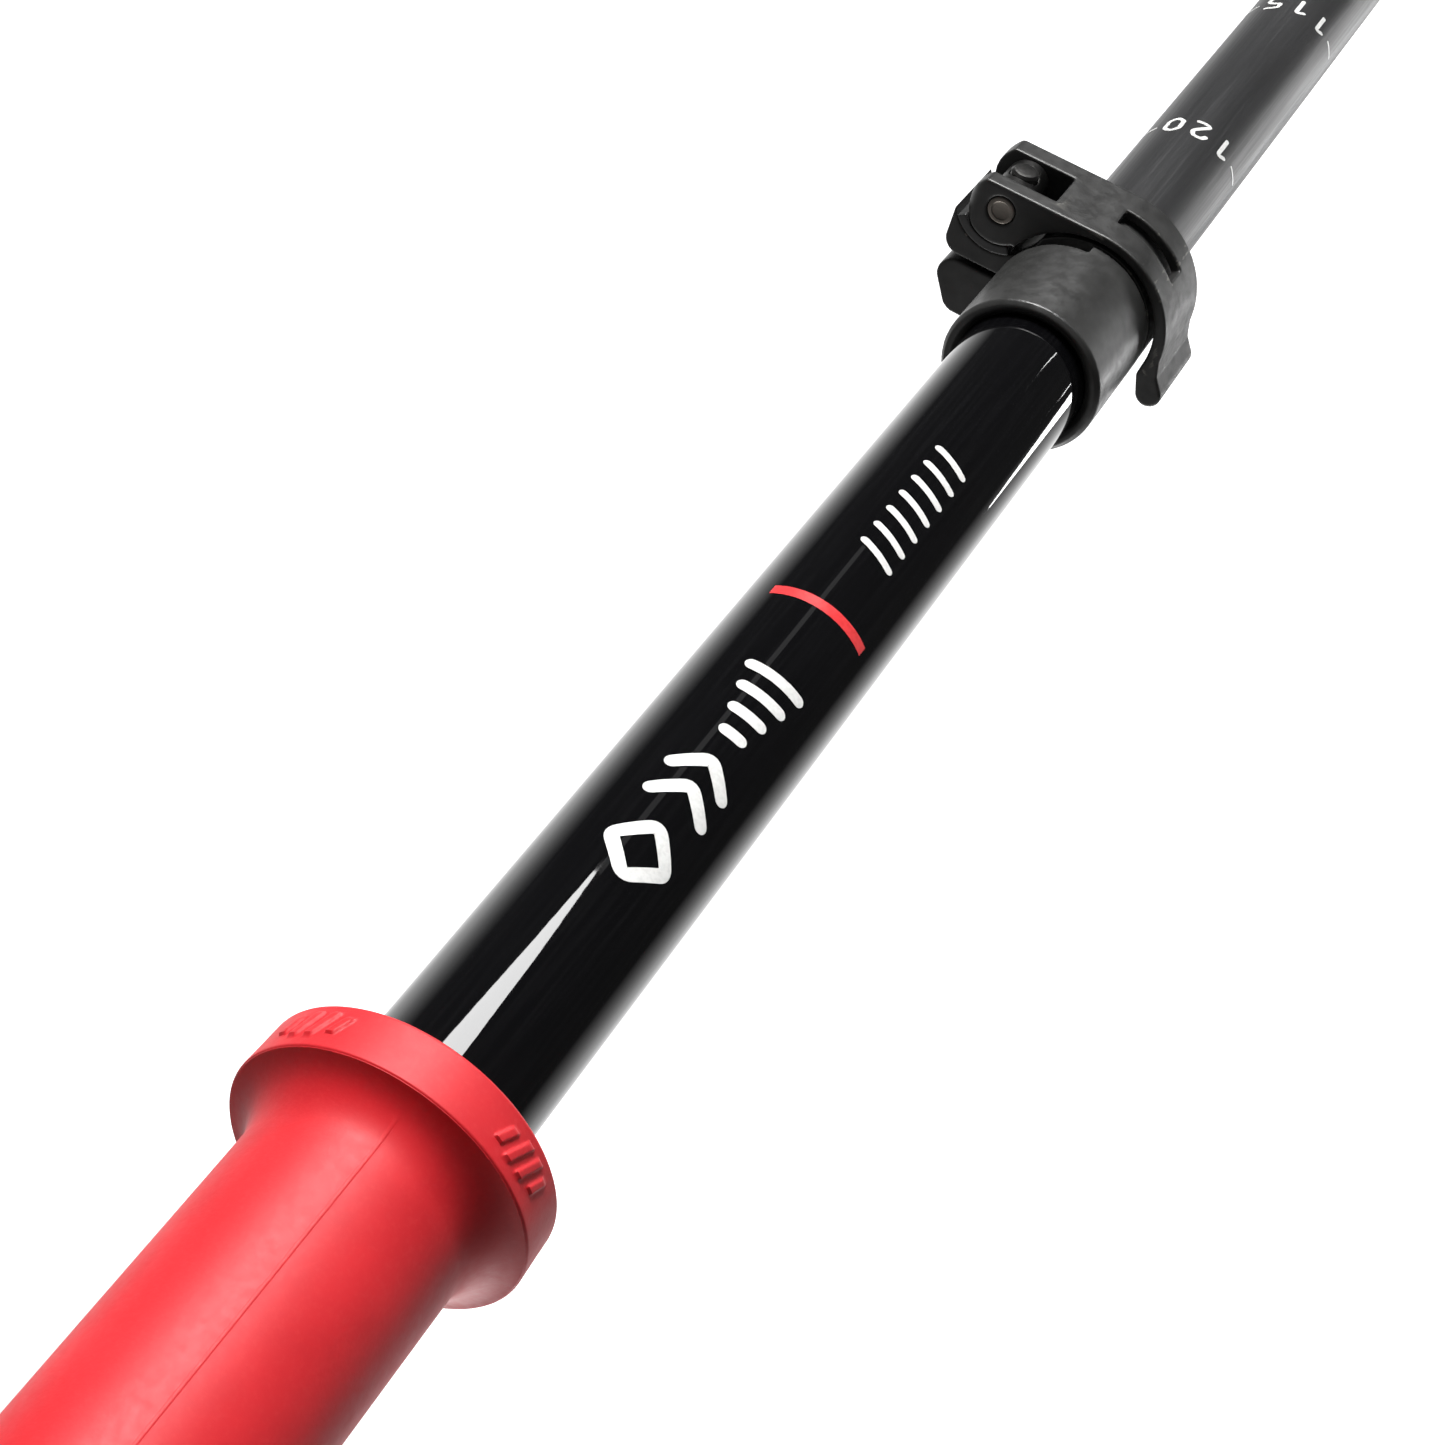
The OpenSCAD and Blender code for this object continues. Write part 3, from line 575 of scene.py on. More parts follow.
def handle_relief(r, angle, z):
    """Finger hollows away from the strap and fine ribs on the palm side, cut into the rubber."""
    up = (z - HANDLE_Z) / (CAP_Z - 25 - HANDLE_Z)
    body = smooth_step(up, 0.06, 0.16) * (1 - smooth_step(up, 0.86, 0.97))
    outside = smooth_step(r, SHAFT_R + 3.5, SHAFT_R + 4.5)
    fingers = 1 - smooth_step(np.abs(turned_by(angle, 180)), 35, 85)
    palm = 1 - smooth_step(np.abs(turned_by(angle, 0)), 30, 62)
    hollow = 0.55 * (1 + np.cos(2 * math.pi * (z - HANDLE_Z) / 19.0))
    rib = 0.28 * smooth_step(np.cos(2 * math.pi * (z - HANDLE_Z) / 3.2), -0.1, 0.5)
    return -outside * body * (fingers * hollow + palm * rib)


def pocket_cutter(name, margin):
    """The wedge's pocket, opened by a margin, as a cutter."""
    x_low, x_high = 3 - margin, 11.6 + margin
    half = 10.8 + margin
    size = (x_high - x_low, 2 * half, 40)
    return soft_cutter(name, ((x_low + x_high) / 2, 0, SLOT_MID_Z - 2 + 20), size, 0.5)


def slot_cutter(name):
    """The strap's slot through the head's +X side."""
    return soft_cutter(name, (HEAD_R, 0, SLOT_MID_Z), (HEAD_R + 8, 21.6, 4.1), 0.6)


def handle():
    """The handle's rubber: a palm swell under a wider head, with the strap's slot through it."""
    core_r = SHAFT_R + 2
    head_z = CAP_Z - 23
    share = np.linspace(0, 1, 60)
    swell = core_r + 2.9 + 3.2 * (1 - np.cos(2 * math.pi * share)) / 2
    rise = HANDLE_Z + 1.5 + (head_z - 2 - HANDLE_Z - 1.5 - 4) * share
    foot = [(core_r, HANDLE_Z), (core_r + 2.4, HANDLE_Z), (swell[0], rise[0])]
    outer = np.concatenate([
        rounded(foot, [0, 0.9, 0], 5, closed=False),
        np.stack([swell, rise], -1)[1:-1],
    ])
    head = rounded(
        [(swell[-1], rise[-1]), (HEAD_R - 2, head_z + 3), (HEAD_R, head_z + 7), (HEAD_R, CAP_Z),
         (HEAD_R - 3, CAP_Z), (HEAD_R - 3, head_z), (core_r, head_z)],
        [2.5, 3.0, 3.0, 0.6, 0.1, 0.1, 0.1], 7, closed=False,
    )
    outline = np.concatenate([resampled(outer, 0.8), resampled(head, 1.2)])
    obj = made_object("handle_grip_rubber", lathe(outline, 220, shape=handle_relief))
    cut(obj, slot_cutter("cut_slot"))
    finished(obj, RED, "upper_section", ["handle_rubber"])


def cap_relief(r, angle, z):
    """A ring groove round the cap's foot and shallow flutes on its side."""
    groove = 0.35 * (1 - smooth_step(np.abs(z - (CAP_Z + 2.2)), 0.25, 0.6))
    side = smooth_step(z, CAP_Z + 3.4, CAP_Z + 4.6) * (1 - smooth_step(z, CAP_Z + 8, CAP_Z + 11))
    flutes = 0.3 * smooth_step(np.cos(angle * 36), 0.1, 0.8)
    return -(groove + side * flutes) * smooth_step(r, HEAD_R - 6, HEAD_R - 3)


def cap():
    """The head cap's dome, with the wedge's pocket and the screw's well cut into it."""
    dome = [
        (HEAD_R - DOME_R + DOME_R * math.cos(a), TOP_Z - DOME_H + DOME_H * math.sin(a))
        for a in np.radians(np.linspace(0, 90, 26))
    ]
    foot = rounded([(0, CAP_Z), (HEAD_R, CAP_Z), (HEAD_R, TOP_Z - DOME_H)], [0, 0.5, 0], 4, closed=False)
    outline = np.concatenate([resampled(foot, 0.35), dome[1:], [(0, TOP_Z)]])
    obj = made_object("handle_cap_dome", lathe(outline, 288, closed=False, shape=cap_relief))
    screw_r, head_r, screw_x = 2.0, 3.8, -6.0
    well_line = [(0, TOP_Z - 8), (head_r, TOP_Z - 8), (head_r, TOP_Z - 1.2), (head_r + 1.4, TOP_Z + 1),
                 (0, TOP_Z + 1)]
    bore_line = [(0, CAP_Z - 1), (screw_r, CAP_Z - 1), (screw_r, TOP_Z - 7), (0, TOP_Z - 7)]
    well = made_object("cut_well", lathe(well_line, 64, closed=False))
    bore = made_object("cut_bore", lathe(bore_line, 48, closed=False))
    for c in (well, bore):
        c.data.transform(Matrix.Translation((screw_x * MM, 0, 0)))
    cut(obj, pocket_cutter("cut_pocket", 0), well, bore)
    finished(obj, PLASTIC, "upper_section", ["handle_cap"], crease=35)


def strap_line():
    """The strap's middle line in the XZ plane, from the slot round the loop and back to the slot."""
    layer, slot_end = 0.8, 5.2
    loop_w, loop_r = 27, 13.5
    x_in = LOOP_HIGH_X - layer - loop_w
    x_out = LOOP_HIGH_X - layer
    x_up = x_in + 2 * layer + 0.2
    foot = LOOP_LOW_Z + layer + loop_r
    meet = SLOT_MID_Z - 2 - 22
    loop = [
        ((x_in + x_out) / 2 - loop_r * math.cos(a), foot - loop_r * math.sin(a))
        for a in np.linspace(0, math.pi, 25)
    ]
    down = rounded([(slot_end, SLOT_MID_Z - layer), (x_in, SLOT_MID_Z - layer), loop[0]],
                   [0, 2.4, 0], 6, closed=False)
    up = rounded(
        [loop[-1], (x_out - 2, meet - 45), (x_up, meet + 1), (x_up, SLOT_MID_Z + layer),
         (slot_end, SLOT_MID_Z + layer)],
        [0, 40, 16, 3.2, 0], 12, closed=False,
    )
    return resampled(np.concatenate([down, loop[1:-1], up]), 0.9)


def ribbon(line, half_width, thickness, across=28, relief=0.0):
    """A flat strap along a line in the XZ plane, woven in a herringbone, with round selvedges."""
    step = np.gradient(line, axis=0)
    step = step / np.linalg.norm(step, axis=1, keepdims=True)
    side = np.stack([step[:, 1], -step[:, 0]], -1)
    length = np.concatenate([[0], np.cumsum(np.linalg.norm(np.diff(line, axis=0), axis=1))])
    v = np.linspace(-1, 1, across)
    edge = np.sqrt(np.clip(1 - (np.abs(v) * half_width - half_width + thickness / 2).clip(0) ** 2
                           / (thickness / 2) ** 2, 0.02, 1))
    herringbone = 2.2 * np.abs(((v * 2 + 2) % 2) - 1)[None, :]
    wave = relief * np.cos(2 * math.pi * (length[:, None] / 2.7 + herringbone))
    half = thickness / 2 * edge[None, :] - relief + wave
    half = np.maximum(half, 0.08)
    rings = []
    for sign, columns in ((1, slice(None)), (-1, slice(None, None, -1))):
        place = line[:, None, :] + sign * side[:, None, :] * half[:, columns, None]
        y = np.repeat((v * half_width)[None, columns], len(line), 0)
        rings.append(np.stack([place[..., 0], y, place[..., 1]], -1))
    verts = np.concatenate(rings, 1)
    return verts.reshape(-1, 3), capped_tube(len(line), verts.shape[1])


def stitches(name, points, normal_side, length=1.7, pitch=2.9, radius=0.24):
    """A row of sewn stitches along those points: short capsules that dip in at their ends."""
    path = resampled(points, 0.05)
    along = np.concatenate([[0], np.cumsum(np.linalg.norm(np.diff(path, axis=0), axis=1))])
    meshes = []
    for start in np.arange(0.5, along[-1] - length, pitch):
        middle = start + length / 2
        at = np.array([np.interp(middle, along, path[:, k]) for k in range(3)])
        ahead = np.array([np.interp(middle + 0.3, along, path[:, k]) for k in range(3)])
        u = unit(ahead - at)
        n = unit(np.asarray(normal_side, float) - u * (np.asarray(normal_side) @ u))
        w = np.cross(u, n)
        rows = []
        for s in np.linspace(-1, 1, 9):
            r = radius * math.sqrt(max(0.03, 1 - abs(s) ** 4))
            centre = at + u * s * length / 2 + n * (0.12 * (1 - s * s) - 0.06)
            rows.append([centre + r * (math.cos(a) * n + math.sin(a) * w) for a in even_angles(8)])
        meshes.append((np.array(rows).reshape(-1, 3), capped_tube(9, 8)))
    obj = made_object(name, joined(*meshes))
    return finished(obj, THREAD, "upper_section", crease=80)


def strap():
    line = strap_line()
    obj = made_object("wrist_strap", ribbon(line, 10, 1.5, relief=0.05))
    finished(obj, WEBBING, "upper_section", ["strap_webbing"], crease=60)


def pad():
    """The wrist pad on the webbing's inside: a crowned cushion with two sewn channels and an edge seam."""
    lo, hi = low("strap_pad"), high("strap_pad")
    line = strap_line()
    on_pad = (line[:, 0] > (lo.x + hi.x) / 2) & (line[:, 1] > lo.z + 1.2) & (line[:, 1] < hi.z - 1.2)
    outer = line[on_pad]
    outer = outer[np.argsort(outer[:, 1])]
    step = unit(outer[-1] - outer[0])
    inward = np.array([-step[1], step[0]])

    # rows run up the pad, closer together near its ends; columns run across it
    s = np.sin(np.linspace(-1, 1, 96) * math.pi / 2)[:, None]
    v = np.linspace(-1, 1, 48)[None, :]
    z = outer[0, 1] + (s[:, 0] + 1) / 2 * (outer[-1, 1] - outer[0, 1])
    x = np.interp(z, outer[:, 1], outer[:, 0])
    half_w = (PAD_HALF - 0.2) * np.clip(1 - np.abs(s) ** 9, 0.004, 1) ** 0.3 * (1 - 0.05 * s ** 2)
    ends = np.clip(1 - np.abs(s) ** 12, 0.02, 1) ** 0.5
    crown = 0.5 + 2.2 * (1 - np.abs(v) ** 6) * ends
    for channel in (-0.42, 0.42):
        crown -= 0.75 * (1 - smooth_step(np.abs(v - channel), 0.0, 0.09))
    crown -= 0.5 * (1 - smooth_step(np.abs(np.abs(v) - 0.9), 0.0, 0.05))
    crown = np.clip(crown, 0.3, 2.75)
    webbing_face = 0.85

    def layer(height):
        off = webbing_face + height
        return np.stack([x[:, None] + inward[0] * off, v * half_w, z[:, None] + inward[1] * off], -1)

    front, rear = layer(crown), layer(np.zeros_like(crown))
    verts = np.concatenate([front, rear[:, ::-1]], 1)
    rows, count = verts.shape[:2]
    obj = made_object("wrist_pad", (verts.reshape(-1, 3), capped_tube(rows, count)))
    finished(obj, LINING, "upper_section", ["strap_pad"], crease=70)

    seam = webbing_face + np.interp(0.9, v[0], crown[rows // 2]) + 0.05
    row = np.abs(s[:, 0]) < 0.9
    for name, side in (("pad_stitches_left", -1), ("pad_stitches_right", 1)):
        at = (x[row] + inward[0] * seam, side * 0.9 * half_w[row, 0], z[row] + inward[1] * seam)
        stitches(name, np.stack(at, -1), (inward[0], 0, inward[1]))


def keeper():
    """The slider's rounded frame, with two shallow grooves across its outer face."""
    obj = softened("strap_slider", "strap_keeper", 0.16, 26, 0.35)
    lo, hi = low("strap_keeper"), high("strap_keeper")
    middle, groove = (lo + hi) / 2, (0.9, 0.6 * (hi.y - lo.y), 1.0)
    rows = [middle.z - 1.6, middle.z + 1.6]
    cut(obj, *[soft_cutter("cut_groove", (hi.x, middle.y, z), groove, 0.35) for z in rows])
    finished(obj, PLASTIC, "upper_section", ["strap_keeper"])


def wedge():
    """The wedge, its ribbed top following the cap's dome and standing a little proud of it."""
    obj = softened("wedge_block", "strap_wedge", 0.2, 3, 0.4)
    proud = 0.4
    dome = [(2 + (DOME_R + proud) * math.cos(a), TOP_Z - DOME_H + (DOME_H + proud) * math.sin(a))
            for a in np.radians(np.linspace(0, 90, 40))]
    outline = [(0, CAP_Z - 20), (dome[0][0], CAP_Z - 20), *dome, (0, TOP_Z + proud)]
    cut(obj, made_object("cut_dome", lathe(outline, 128, closed=False)), operation="INTERSECT")
    finished(obj, PLASTIC, "wedge", ["strap_wedge"])


# ---- clamp ----

def clamp():
    """The clamp's cast and moulded pieces. Each has its voxel size, smoothing rounds and share kept."""
    pieces = (
        ("collar_moulding", "clamp_collar", 0.18, 4, 0.40, COLLAR, "upper_section", "clamp_plastic"),
        ("band_casting", "clamp_band", 0.17, 9, 0.30, CAST, "upper_section", "clamp_metal"),
        ("lever_casting", "clamp_lever", 0.14, 16, 0.35, CAST, "lever", "clamp_metal"),
        ("cam_seat_shell", "cam_seat", 0.12, 4, 0.40, SEAT, "upper_section", "seat_plastic"),
        ("nut_barrel", "barrel_nut", 0.11, 5, 0.40, BLACKENED, "nut_carriage", "dark_steel"),
    )
    for name, node, voxel, rounds, keep, material, body, slot in pieces:
        obj = softened(name, node, voxel, rounds, keep)
        finished(obj, material, body, [node], crease=60)


def pins():
    """Two hinge pins with rounded, lightly dished ends."""
    lo, hi = low("hinge_pins"), high("hinge_pins")
    x, y = (lo.x + hi.x) / 2, (lo.y + hi.y) / 2
    r = (hi.x - lo.x) / 2
    inner_low, inner_high = lo.z + 4.85, hi.z - 4.25
    meshes = []
    for z0, z1 in ((lo.z, inner_low), (inner_high, hi.z)):
        outer = z0 if z0 == lo.z else z1
        inner = z1 if z0 == lo.z else z0
        sign = 1 if inner > outer else -1
        outline = rounded([(0, outer + 0.25 * sign), (r * 0.62, outer + 0.1 * sign), (r * 0.7, outer),
                           (r, outer), (r, inner), (0, inner)], [0, 0.2, 0.1, 0.35, 0.2, 0], 5, closed=False)
        verts, faces = lathe(outline, 64, closed=False)
        meshes.append((verts + np.array([x, y, 0]), faces))
    obj = made_object("hinge_pin_pair", joined(*meshes))
    finished(obj, PIN_STEEL, "nut_carriage", ["hinge_pins"], crease=50)


def tension_screw():
    """The screw with its thread, domed end and socket head, turned about Z and then laid along +Y."""
    lo, hi = low("tension_screw"), high("tension_screw")
    x, z = (lo.x + hi.x) / 2, (lo.z + hi.z) / 2
    head_h, shank_r, head_r = 2.4, 2.0, (hi.x - lo.x) / 2
    length = hi.y - lo.y
    pitch, depth = 0.7, 0.22

    def thread(r, angle, h):
        wave = np.abs((h / pitch - angle / (2 * math.pi)) % 1 - 0.5) * 2
        cut_in = smooth_step(h, head_h + 1.5, head_h + 2.2) * (1 - smooth_step(h, length - 0.7, length - 0.3))
        return -depth * wave * cut_in * smooth_step(r, shank_r - 0.1, shank_r - 0.02)

    shank = resampled([(shank_r, head_h), (shank_r, length - 0.5)], 0.1)
    head = [(0, 0), (head_r, 0), (head_r, head_h), (shank_r, head_h)]
    outline = np.concatenate([
        rounded(head, [0, 0.5, 0.2, 0], 5, closed=False)[:-1],
        shank,
        [(shank_r - 0.35, length - 0.1), (shank_r - 0.8, length), (0, length)],
    ])
    obj = made_object("clamp_screw", lathe(outline, 48, closed=False, shape=thread))
    socket = made_object("cut_socket", lathe([(0, -1), (1.44, -1), (1.44, 1.4), (0, 1.9)], 6, closed=False))
    cut(obj, socket)
    along_y = Matrix.Rotation(math.radians(-90), 4, "X")
    obj.data.transform(Matrix.Translation((x * MM, lo.y * MM, z * MM)) @ along_y)
    finished(obj, BLACKENED, "screw", ["tension_screw"], crease=35)


# ---- lower section ----

def lower_tube():
    outline = resampled(tube_outline(TUBE_R - 0.9, TUBE_R, TUBE_LOW, TUBE_HIGH, 0.2), 60, closed=True)
    obj = made_object("lower_tube", lathe(outline, 144))
    finished(obj, TUBE, "lower_section", ["lower_shaft"])


def ferrule():
    """The tip ferrule with a threaded stretch under the basket and grip flats above it."""
    z0, z1 = low("tip_ferrule").z, high("tip_ferrule").z
    seat_r = 5.5
    basket_z = low("basket").z + 1
    r = TUBE_R + 1
    corners = [
        (0, z0), (seat_r, z0), (seat_r, z0 + 26), (seat_r + 1, z0 + 29), (seat_r + 1, basket_z + 10),
        (seat_r + 2.5, basket_z + 10), (seat_r + 2.5, basket_z + 13), (r, TUBE_LOW - 8), (r, TUBE_LOW),
        (TUBE_R - 0.9, TUBE_LOW), (TUBE_R - 0.9, z1), (0, z1),
    ]
    radii = [0, 0.9, 1.5, 1.5, 0.3, 0.4, 1.2, 3.0, 0.7, 0.1, 0.4, 0]

    def relief(rad, angle, z):
        flats = smooth_step(np.cos(angle * 8), 0.2, 0.7) * 0.35
        where = smooth_step(z, basket_z + 15, basket_z + 17)
        where = where * (1 - smooth_step(z, TUBE_LOW - 9, TUBE_LOW - 7))
        rings = 0.3 * smooth_step(np.cos(2 * math.pi * z / 2.6), 0.3, 0.8)
        foot = smooth_step(z, z0 + 15, z0 + 16) * (1 - smooth_step(z, z0 + 23, z0 + 24))
        return -(where * flats + foot * rings) * smooth_step(rad, seat_r - 1, seat_r - 0.3)

    outline = resampled(rounded(corners, radii, 6, closed=False), 0.55)
    obj = made_object("tip_ferrule_body", lathe(outline, 144, closed=False, shape=relief))
    finished(obj, PLASTIC, "lower_section", ["tip_ferrule"])


def basket():
    """The snow basket: the CAD dish with stiffening ribs, claws under its rim and round edges."""
    lo, hi = low("basket"), high("basket")
    foot, rim_r = lo.z + 1, hi.x
    extra = []
    for k in range(6):
        turn = Matrix.Rotation(math.radians(60 * k), 4, "Z")
        half = Matrix.Rotation(math.radians(60 * k + 30), 4, "Z")
        inner, outer = np.array([9.5, 0, foot + 9.2]), np.array([rim_r - 4, 0, foot + 2.6])
        w = 0.9
        top = [inner + (0, w, 0), inner - (0, w, 0), outer - (0, w, 0), outer + (0, w, 0)]
        bottom = [p - (0, 0, 3.2) for p in top]
        verts = [turn @ Vector(p) for p in top + bottom]
        faces = [(0, 1, 2, 3), (7, 6, 5, 4), (0, 4, 5, 1), (1, 5, 6, 2), (2, 6, 7, 3), (3, 7, 4, 0)]
        extra.append((verts, faces))
        for m in (turn, half):
            v, f = box_mesh((rim_r - 2.4, 0, foot - 1.3), (2.2, 6.5, 3.4))
            extra.append(([m @ Vector(p) for p in v], f))
    obj = softened("snow_basket", "basket", 0.34, 14, 0.25, extra)
    finished(obj, PLASTIC, "lower_section", ["basket"], crease=60)


def tip():
    """The steel holder with six flats, and the carbide point with its crown of teeth."""
    lo, hi = low("tip_holder"), high("tip_holder")
    r, bore_r = hi.x, 2.6
    corners = [(bore_r, lo.z), (r - 0.8, lo.z), (r, lo.z + 3), (r, hi.z), (bore_r, hi.z)]
    outline = resampled(rounded(corners, [0.2, 0.5, 0.8, 0.4, 0.1], 5), 0.5, True)

    def flats(rad, angle, z):
        depth = -0.25 * smooth_step(np.cos(angle * 6), 0.5, 0.95)
        depth = depth * smooth_step(z, lo.z + 4, lo.z + 5) * (1 - smooth_step(z, hi.z - 2, hi.z - 1))
        return depth * smooth_step(rad, 3.5, 4)

    holder = made_object("tip_holder_ring", lathe(outline, 96, shape=flats))
    finished(holder, STEEL, "lower_section", ["tip_holder"])

    point = high("carbide_tip")

    def crown(rad, angle, z):
        teeth = -0.22 * smooth_step(np.cos(angle * 8), -0.2, 0.6)
        return teeth * (1 - smooth_step(z, 3.0, 4.2)) * smooth_step(rad, 0.6, 1.2)

    corners = [(0, 1), (1.3, 0), (bore_r, 3), (bore_r, point.z), (0, point.z)]
    carbide = resampled(rounded(corners, [0, 0.12, 0.5, 0.2, 0], 4, closed=False), 0.25)
    obj = made_object("carbide_point", lathe(carbide, 96, closed=False, shape=crown))
    finished(obj, CARBIDE, "lower_section", ["carbide_tip"], crease=30)


# ---- printed marks: u runs down the pole, v round it, both in millimetres ----

def stroke(path, width, closed=False, round_ends=True):
    """A line of that width as rows of five points across it."""
    line = resampled(path, 0.35, closed)
    if closed:
        step = np.roll(line, -1, 0) - np.roll(line, 1, 0)
    else:
        step = np.gradient(line, axis=0)
    step = step / np.linalg.norm(step, axis=1, keepdims=True)
    half = np.full(len(line), width / 2)
    if round_ends and not closed:
        turn = np.radians((84, 66, 44, 22))
        caps = [(line[0], -step[0]), (line[-1], step[-1])]
        before = [caps[0][0] + caps[0][1] * width / 2 * math.sin(a) for a in turn]
        after = [caps[1][0] + caps[1][1] * width / 2 * math.sin(a) for a in turn[::-1]]
        line = np.concatenate([before, line, after])
        step = np.concatenate([np.repeat(step[:1], 4, 0), step, np.repeat(step[-1:], 4, 0)])
        half = np.concatenate([np.cos(turn) * width / 2, half, np.cos(turn[::-1]) * width / 2])
    side = np.stack([-step[:, 1], step[:, 0]], -1)
    rows = line[:, None, :] + side[:, None, :] * half[:, None, None] * np.linspace(-1, 1, 5)[None, :, None]
    return rows, closed


def laid_round(strokes, radius, z0, azimuth):
    """Strokes as thin solids on a tube of that radius."""
    lift, sink = 0.035, 0.12
    meshes = []
    for rows, closed in strokes:
        angle = math.radians(azimuth) + rows[..., 1] / radius
        z = z0 - rows[..., 0]
        layers = [
            np.stack([r * np.cos(angle), r * np.sin(angle), z], -1) for r in (radius + lift, radius - sink)
        ]
        ring = np.concatenate([layers[0], layers[1][:, ::-1]], 1)
        count = ring.shape[1]
        faces = grid_faces(len(rows), count, True, True) if closed else capped_tube(len(rows), count)
        meshes.append((ring.reshape(-1, 3), faces))
    return joined(*meshes)


def shaft_marks():
    """Plain print: a diamond outline, two chevrons, four stepped bars, seven slanted bars and a red ring."""
    diamond = [(-48.4, 0), (-44.4, -3.6), (-40.4, 0), (-44.4, 3.6)]
    marks = [stroke(rounded(diamond, 1.0, 6), 1.6, closed=True)]
    for tip_u in (-33.4, -28.8):
        chevron = [(tip_u - 3.1, -3.3), (tip_u, 0), (tip_u - 3.1, 3.3)]
        marks.append(stroke(rounded(chevron, [0, 0.9, 0], 5, False), 1.65))
    for k in range(4):
        u = -24.2 + 3.5 * k
        marks.append(stroke([(u, -1.0 - 0.75 * k), (u, 1.0 + 0.75 * k)], 1.55))
    for k in range(7):
        u = 11.6 + 3.6 * k
        marks.append(stroke([(u, -2.2), (u + 1.7, 2.2)], 1.05))
    obj = made_object("shaft_print_white", laid_round(marks, SHAFT_R, RING_Z, FRONT))
    finished(obj, WHITE, "upper_section")
    span = math.pi / 180 * SHAFT_R
    ring = [stroke([(0, -37 * span), (0, 48 * span)], 1.6, round_ends=False)]
    obj = made_object("shaft_print_red", laid_round(ring, SHAFT_R, RING_Z, FRONT))
    finished(obj, RED_INK, "upper_section")


# Digits as strokes in a box one wide and 1.6 high: (x to the right, y up)
DIGITS = {
    "0": [[(0.15, 0.4), (0.15, 1.2), (0.5, 1.55), (0.85, 1.2), (0.85, 0.4), (0.5, 0.05)]],
    "1": [[(0.2, 1.2), (0.58, 1.55), (0.58, 0.05)]],
    "2": [[(0.15, 1.15), (0.3, 1.5), (0.75, 1.5), (0.85, 1.05), (0.15, 0.08), (0.88, 0.08)]],
    "3": [[(0.15, 1.3), (0.45, 1.55), (0.82, 1.35), (0.75, 0.9), (0.4, 0.83), (0.8, 0.72), (0.87, 0.3),
           (0.5, 0.05), (0.12, 0.28)]],
    "5": [[(0.82, 1.52), (0.22, 1.52), (0.17, 0.88), (0.6, 0.95), (0.88, 0.62), (0.8, 0.2), (0.45, 0.05),
           (0.12, 0.25)]],
}


def scale_marks():
    """The length scale: a number every five centimetres with a fine line on each side of it."""
    size, gap = 3.15, 1.15
    high_z, low_z = RING_Z - 130.5, RING_Z - 137
    mid_z = (high_z + low_z) / 2
    meshes = []
    for number in range(105, 140, 5):
        z = mid_z + (number - 120) * 10
        text = str(number)
        width = len(text) * size + (len(text) - 1) * gap
        middle = 12.5 * math.pi / 180 * TUBE_R
        strokes = []
        for place, digit in enumerate(text):
            left = middle - width / 2 + place * (size + gap)
            for part in DIGITS[digit]:
                pts = [(-(y - 0.8) * size, left + x * size) for x, y in part]
                shut = digit == "0"
                strokes.append(stroke(rounded(pts, 0.9, 5, shut), 0.7, closed=shut))
        for side in (-1, 1):
            start = middle + side * (width / 2 + 1.4)
            strokes.append(stroke([(0, start), (0, start + side * 2.6)], 0.45))
        meshes.append(laid_round(strokes, TUBE_R, z, FRONT))
    obj = made_object("length_scale", joined(*meshes))
    finished(obj, WHITE, "lower_section")


# ---- CAD nodes that keep their shape ----

def kept_nodes():
    """Materials for the pieces that are shown as they come from the CAD."""
    for node, material in (("handle_core", PLASTIC), ("cap_screw", STEEL), ("screw_washer", STEEL),
                           ("guide_plug", PLASTIC)):
        slots = nodes[node].data.materials
        slots.clear()
        slots.append(material)


# ---- camera, floor and light ----

def aim(obj, at, towards):
    obj.location = at
    obj.rotation_mode = "QUATERNION"
    obj.rotation_quaternion = (Vector(towards) - Vector(at)).to_track_quat("-Z", "Y")


def camera():
    """The camera, placed from the ring mark and turned by its right and up directions."""
    data = bpy.data.cameras.new("camera")
    data.lens, data.sensor_width = 63.1, 36.0
    data.clip_start, data.clip_end = 0.01, 50
    obj = placed("camera", data)
    right = Vector((0.8618, 0.2299, -0.4521))
    up = Vector((-0.4743, 0.6812, -0.5577))
    back = right.cross(up)
    axes = Matrix((right, up, back)).transposed().to_4x4()
    place = Vector((47.9, 191.9, RING_Z + 206.8)) * MM
    obj.matrix_world = Matrix.Translation(place) @ axes
    bpy.context.scene.camera = obj


def area_light(name, azimuth, elevation, distance, size, size_y, power, about=0.8):
    """A softbox at that direction from a point on the pole's axis."""
    a, e = math.radians(azimuth), math.radians(elevation)
    centre = Vector((0, 0, about))
    place = centre + distance * Vector((math.cos(a) * math.cos(e), math.sin(a) * math.cos(e), math.sin(e)))
    data = bpy.data.lights.new(name, "AREA")
    data.shape, data.size, data.size_y, data.energy = "RECTANGLE", size, size_y, power
    obj = placed(name, data)
    aim(obj, place, centre)
    obj.visible_camera = False


def floor():
    """A pale floor that looks plain white to the camera."""
    disc = bpy.data.meshes.new("floor")
    bm = bmesh.new()
    bmesh.ops.create_circle(bm, cap_ends=True, segments=96, radius=12)
    bm.to_mesh(disc)
    bm.free()
    obj = placed("floor", disc)
    mat, tree, bsdf = shader("floor", (0.85, 0.85, 0.85), 0.8, Emission_Color=(1, 1, 1, 1))
    path = tree.nodes.new("ShaderNodeLightPath")
    tree.links.new(path.outputs["Is Camera Ray"], bsdf.inputs["Emission Strength"])
    disc.materials.append(mat)
    obj.visible_glossy = False


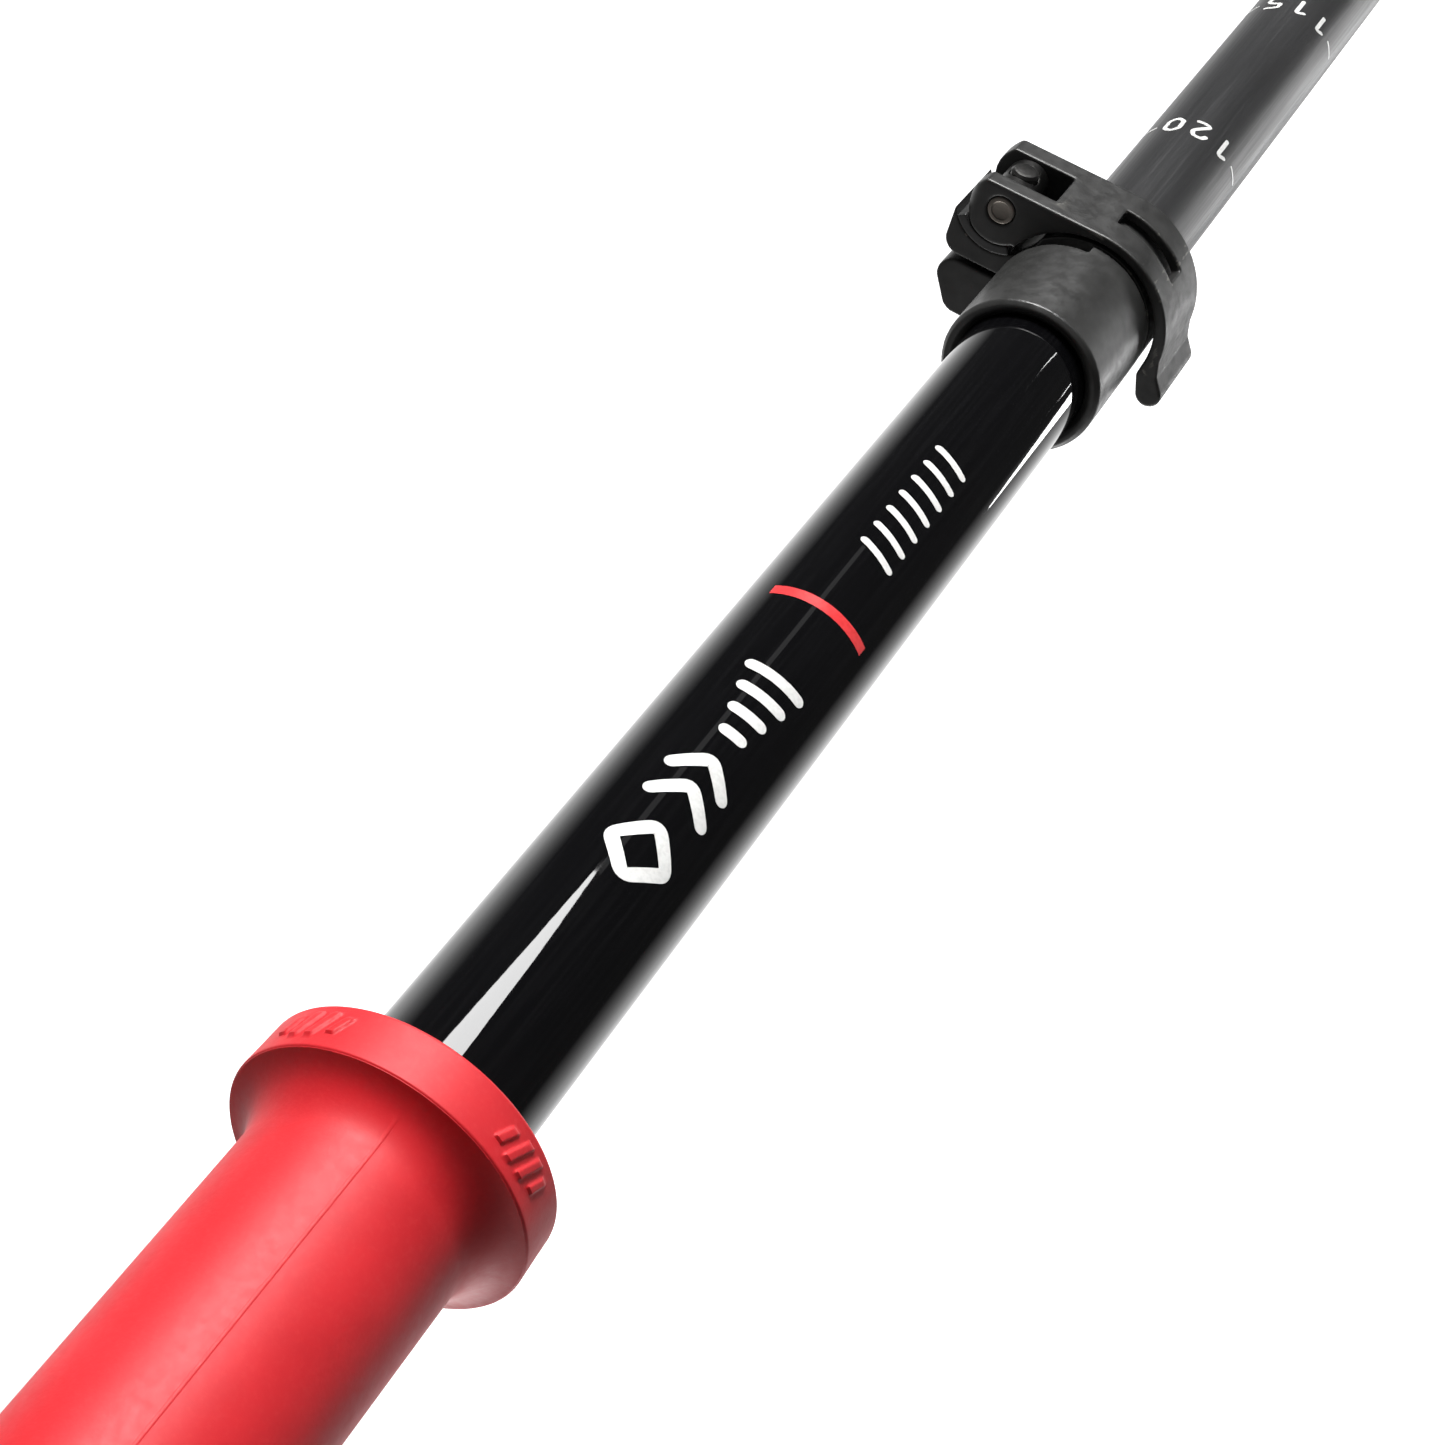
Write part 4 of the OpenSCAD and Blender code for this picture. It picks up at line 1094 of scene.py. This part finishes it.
def world():
    """Plain and pale where it is seen; as light, bright from behind and below and dim from above."""
    made = bpy.data.worlds.new("studio")
    bpy.context.scene.world = made
    made.use_nodes = True
    tree = made.node_tree
    tree.nodes.clear()
    where = tree.nodes.new("ShaderNodeTexCoord")
    parts = tree.nodes.new("ShaderNodeSeparateXYZ")
    tree.links.new(where.outputs["Generated"], parts.inputs["Vector"])
    tilt = tree.nodes.new("ShaderNodeVectorMath")
    tilt.operation = "DOT_PRODUCT"
    tilt.inputs[1].default_value = (-0.3, -1.0, 0.0)
    tree.links.new(where.outputs["Generated"], tilt.inputs[0])
    behind = ranged(tree, tilt.outputs["Value"], 0.0, 0.5, 0.0, 1.0)
    below = ranged(tree, parts.outputs["Z"], 0.3, -0.4, 0.12, 1.0)
    strength = ranged(tree, times(tree, behind, below), 0.0, 1.0, 0.08, 1.75)
    light = tree.nodes.new("ShaderNodeBackground")
    tree.links.new(strength, light.inputs["Strength"])
    seen = tree.nodes.new("ShaderNodeBackground")
    seen.inputs["Color"].default_value = (1, 1, 1, 1)
    path = tree.nodes.new("ShaderNodeLightPath")
    mix = tree.nodes.new("ShaderNodeMixShader")
    out = tree.nodes.new("ShaderNodeOutputWorld")
    tree.links.new(path.outputs["Is Camera Ray"], mix.inputs["Fac"])
    tree.links.new(light.outputs["Background"], mix.inputs[1])
    tree.links.new(seen.outputs["Background"], mix.inputs[2])
    tree.links.new(mix.outputs["Shader"], out.inputs["Surface"])


def reflected(side, along):
    """Where the camera's view of the gloss shaft goes after it is mirrored: side in degrees from the shaft's
    front line, along in millimetres from the ring mark towards the tip."""
    turn = math.radians(FRONT - side)
    normal = Vector((math.cos(turn), math.sin(turn), 0))
    place = SHAFT_R * normal + Vector((0, 0, RING_Z - along))
    view = (place - bpy.context.scene.camera.location / MM).normalized()
    return place, view - 2 * view.dot(normal) * normal


def window(name, corners, distance, strength):
    """A bright card that the gloss shaft mirrors over the patch with those corners. Nothing else sees it."""
    verts = []
    for side, along in corners:
        place, ray = reflected(side, along)
        verts.append(place + ray * distance / math.hypot(ray.x, ray.y))
    obj = made_object(name, (np.array(verts), [tuple(range(len(verts)))]))
    mat = shader(name, (0, 0, 0), 1.0, Emission_Color=(1, 1, 1, 1), Emission_Strength=strength)[0]
    obj.data.materials.append(mat)
    obj.visible_camera = False
    obj.visible_diffuse = False
    obj.visible_shadow = False


def studio():
    """World, floor, three softboxes, and four cards for the pale reflections on the gloss shaft."""
    world()
    floor()
    area_light("key", 108, -15, 1.3, 0.50, 0.50, 25)
    area_light("side", -17, -64, 0.68, 0.36, 0.16, 0.55, about=0.66)
    area_light("back", 280, 8, 1.8, 1.2, 1.2, 18)
    window("streak_card", [(-24, -95), (-3, -95), (-9, -62), (-13, -50), (-15, -50), (-17, -62)], 450, 22)
    window("trail_card", [(-14, -50), (-10, -50), (-10, 12), (-13, 12)], 450, 0.6)
    window("corner_card", [(10, 62), (40, 62), (40, 60.5), (10, 60)], 450, 20)
    window("edge_card", [(46, 65), (54, 65), (52, 36), (51, 36)], 450, 14)
    bpy.context.scene.view_settings.view_transform = "Standard"


shaft()
grip()
handle()
cap()
strap()
pad()
keeper()
wedge()
clamp()
pins()
tension_screw()
lower_tube()
ferrule()
basket()
tip()
shaft_marks()
scale_marks()
kept_nodes()
camera()
studio()
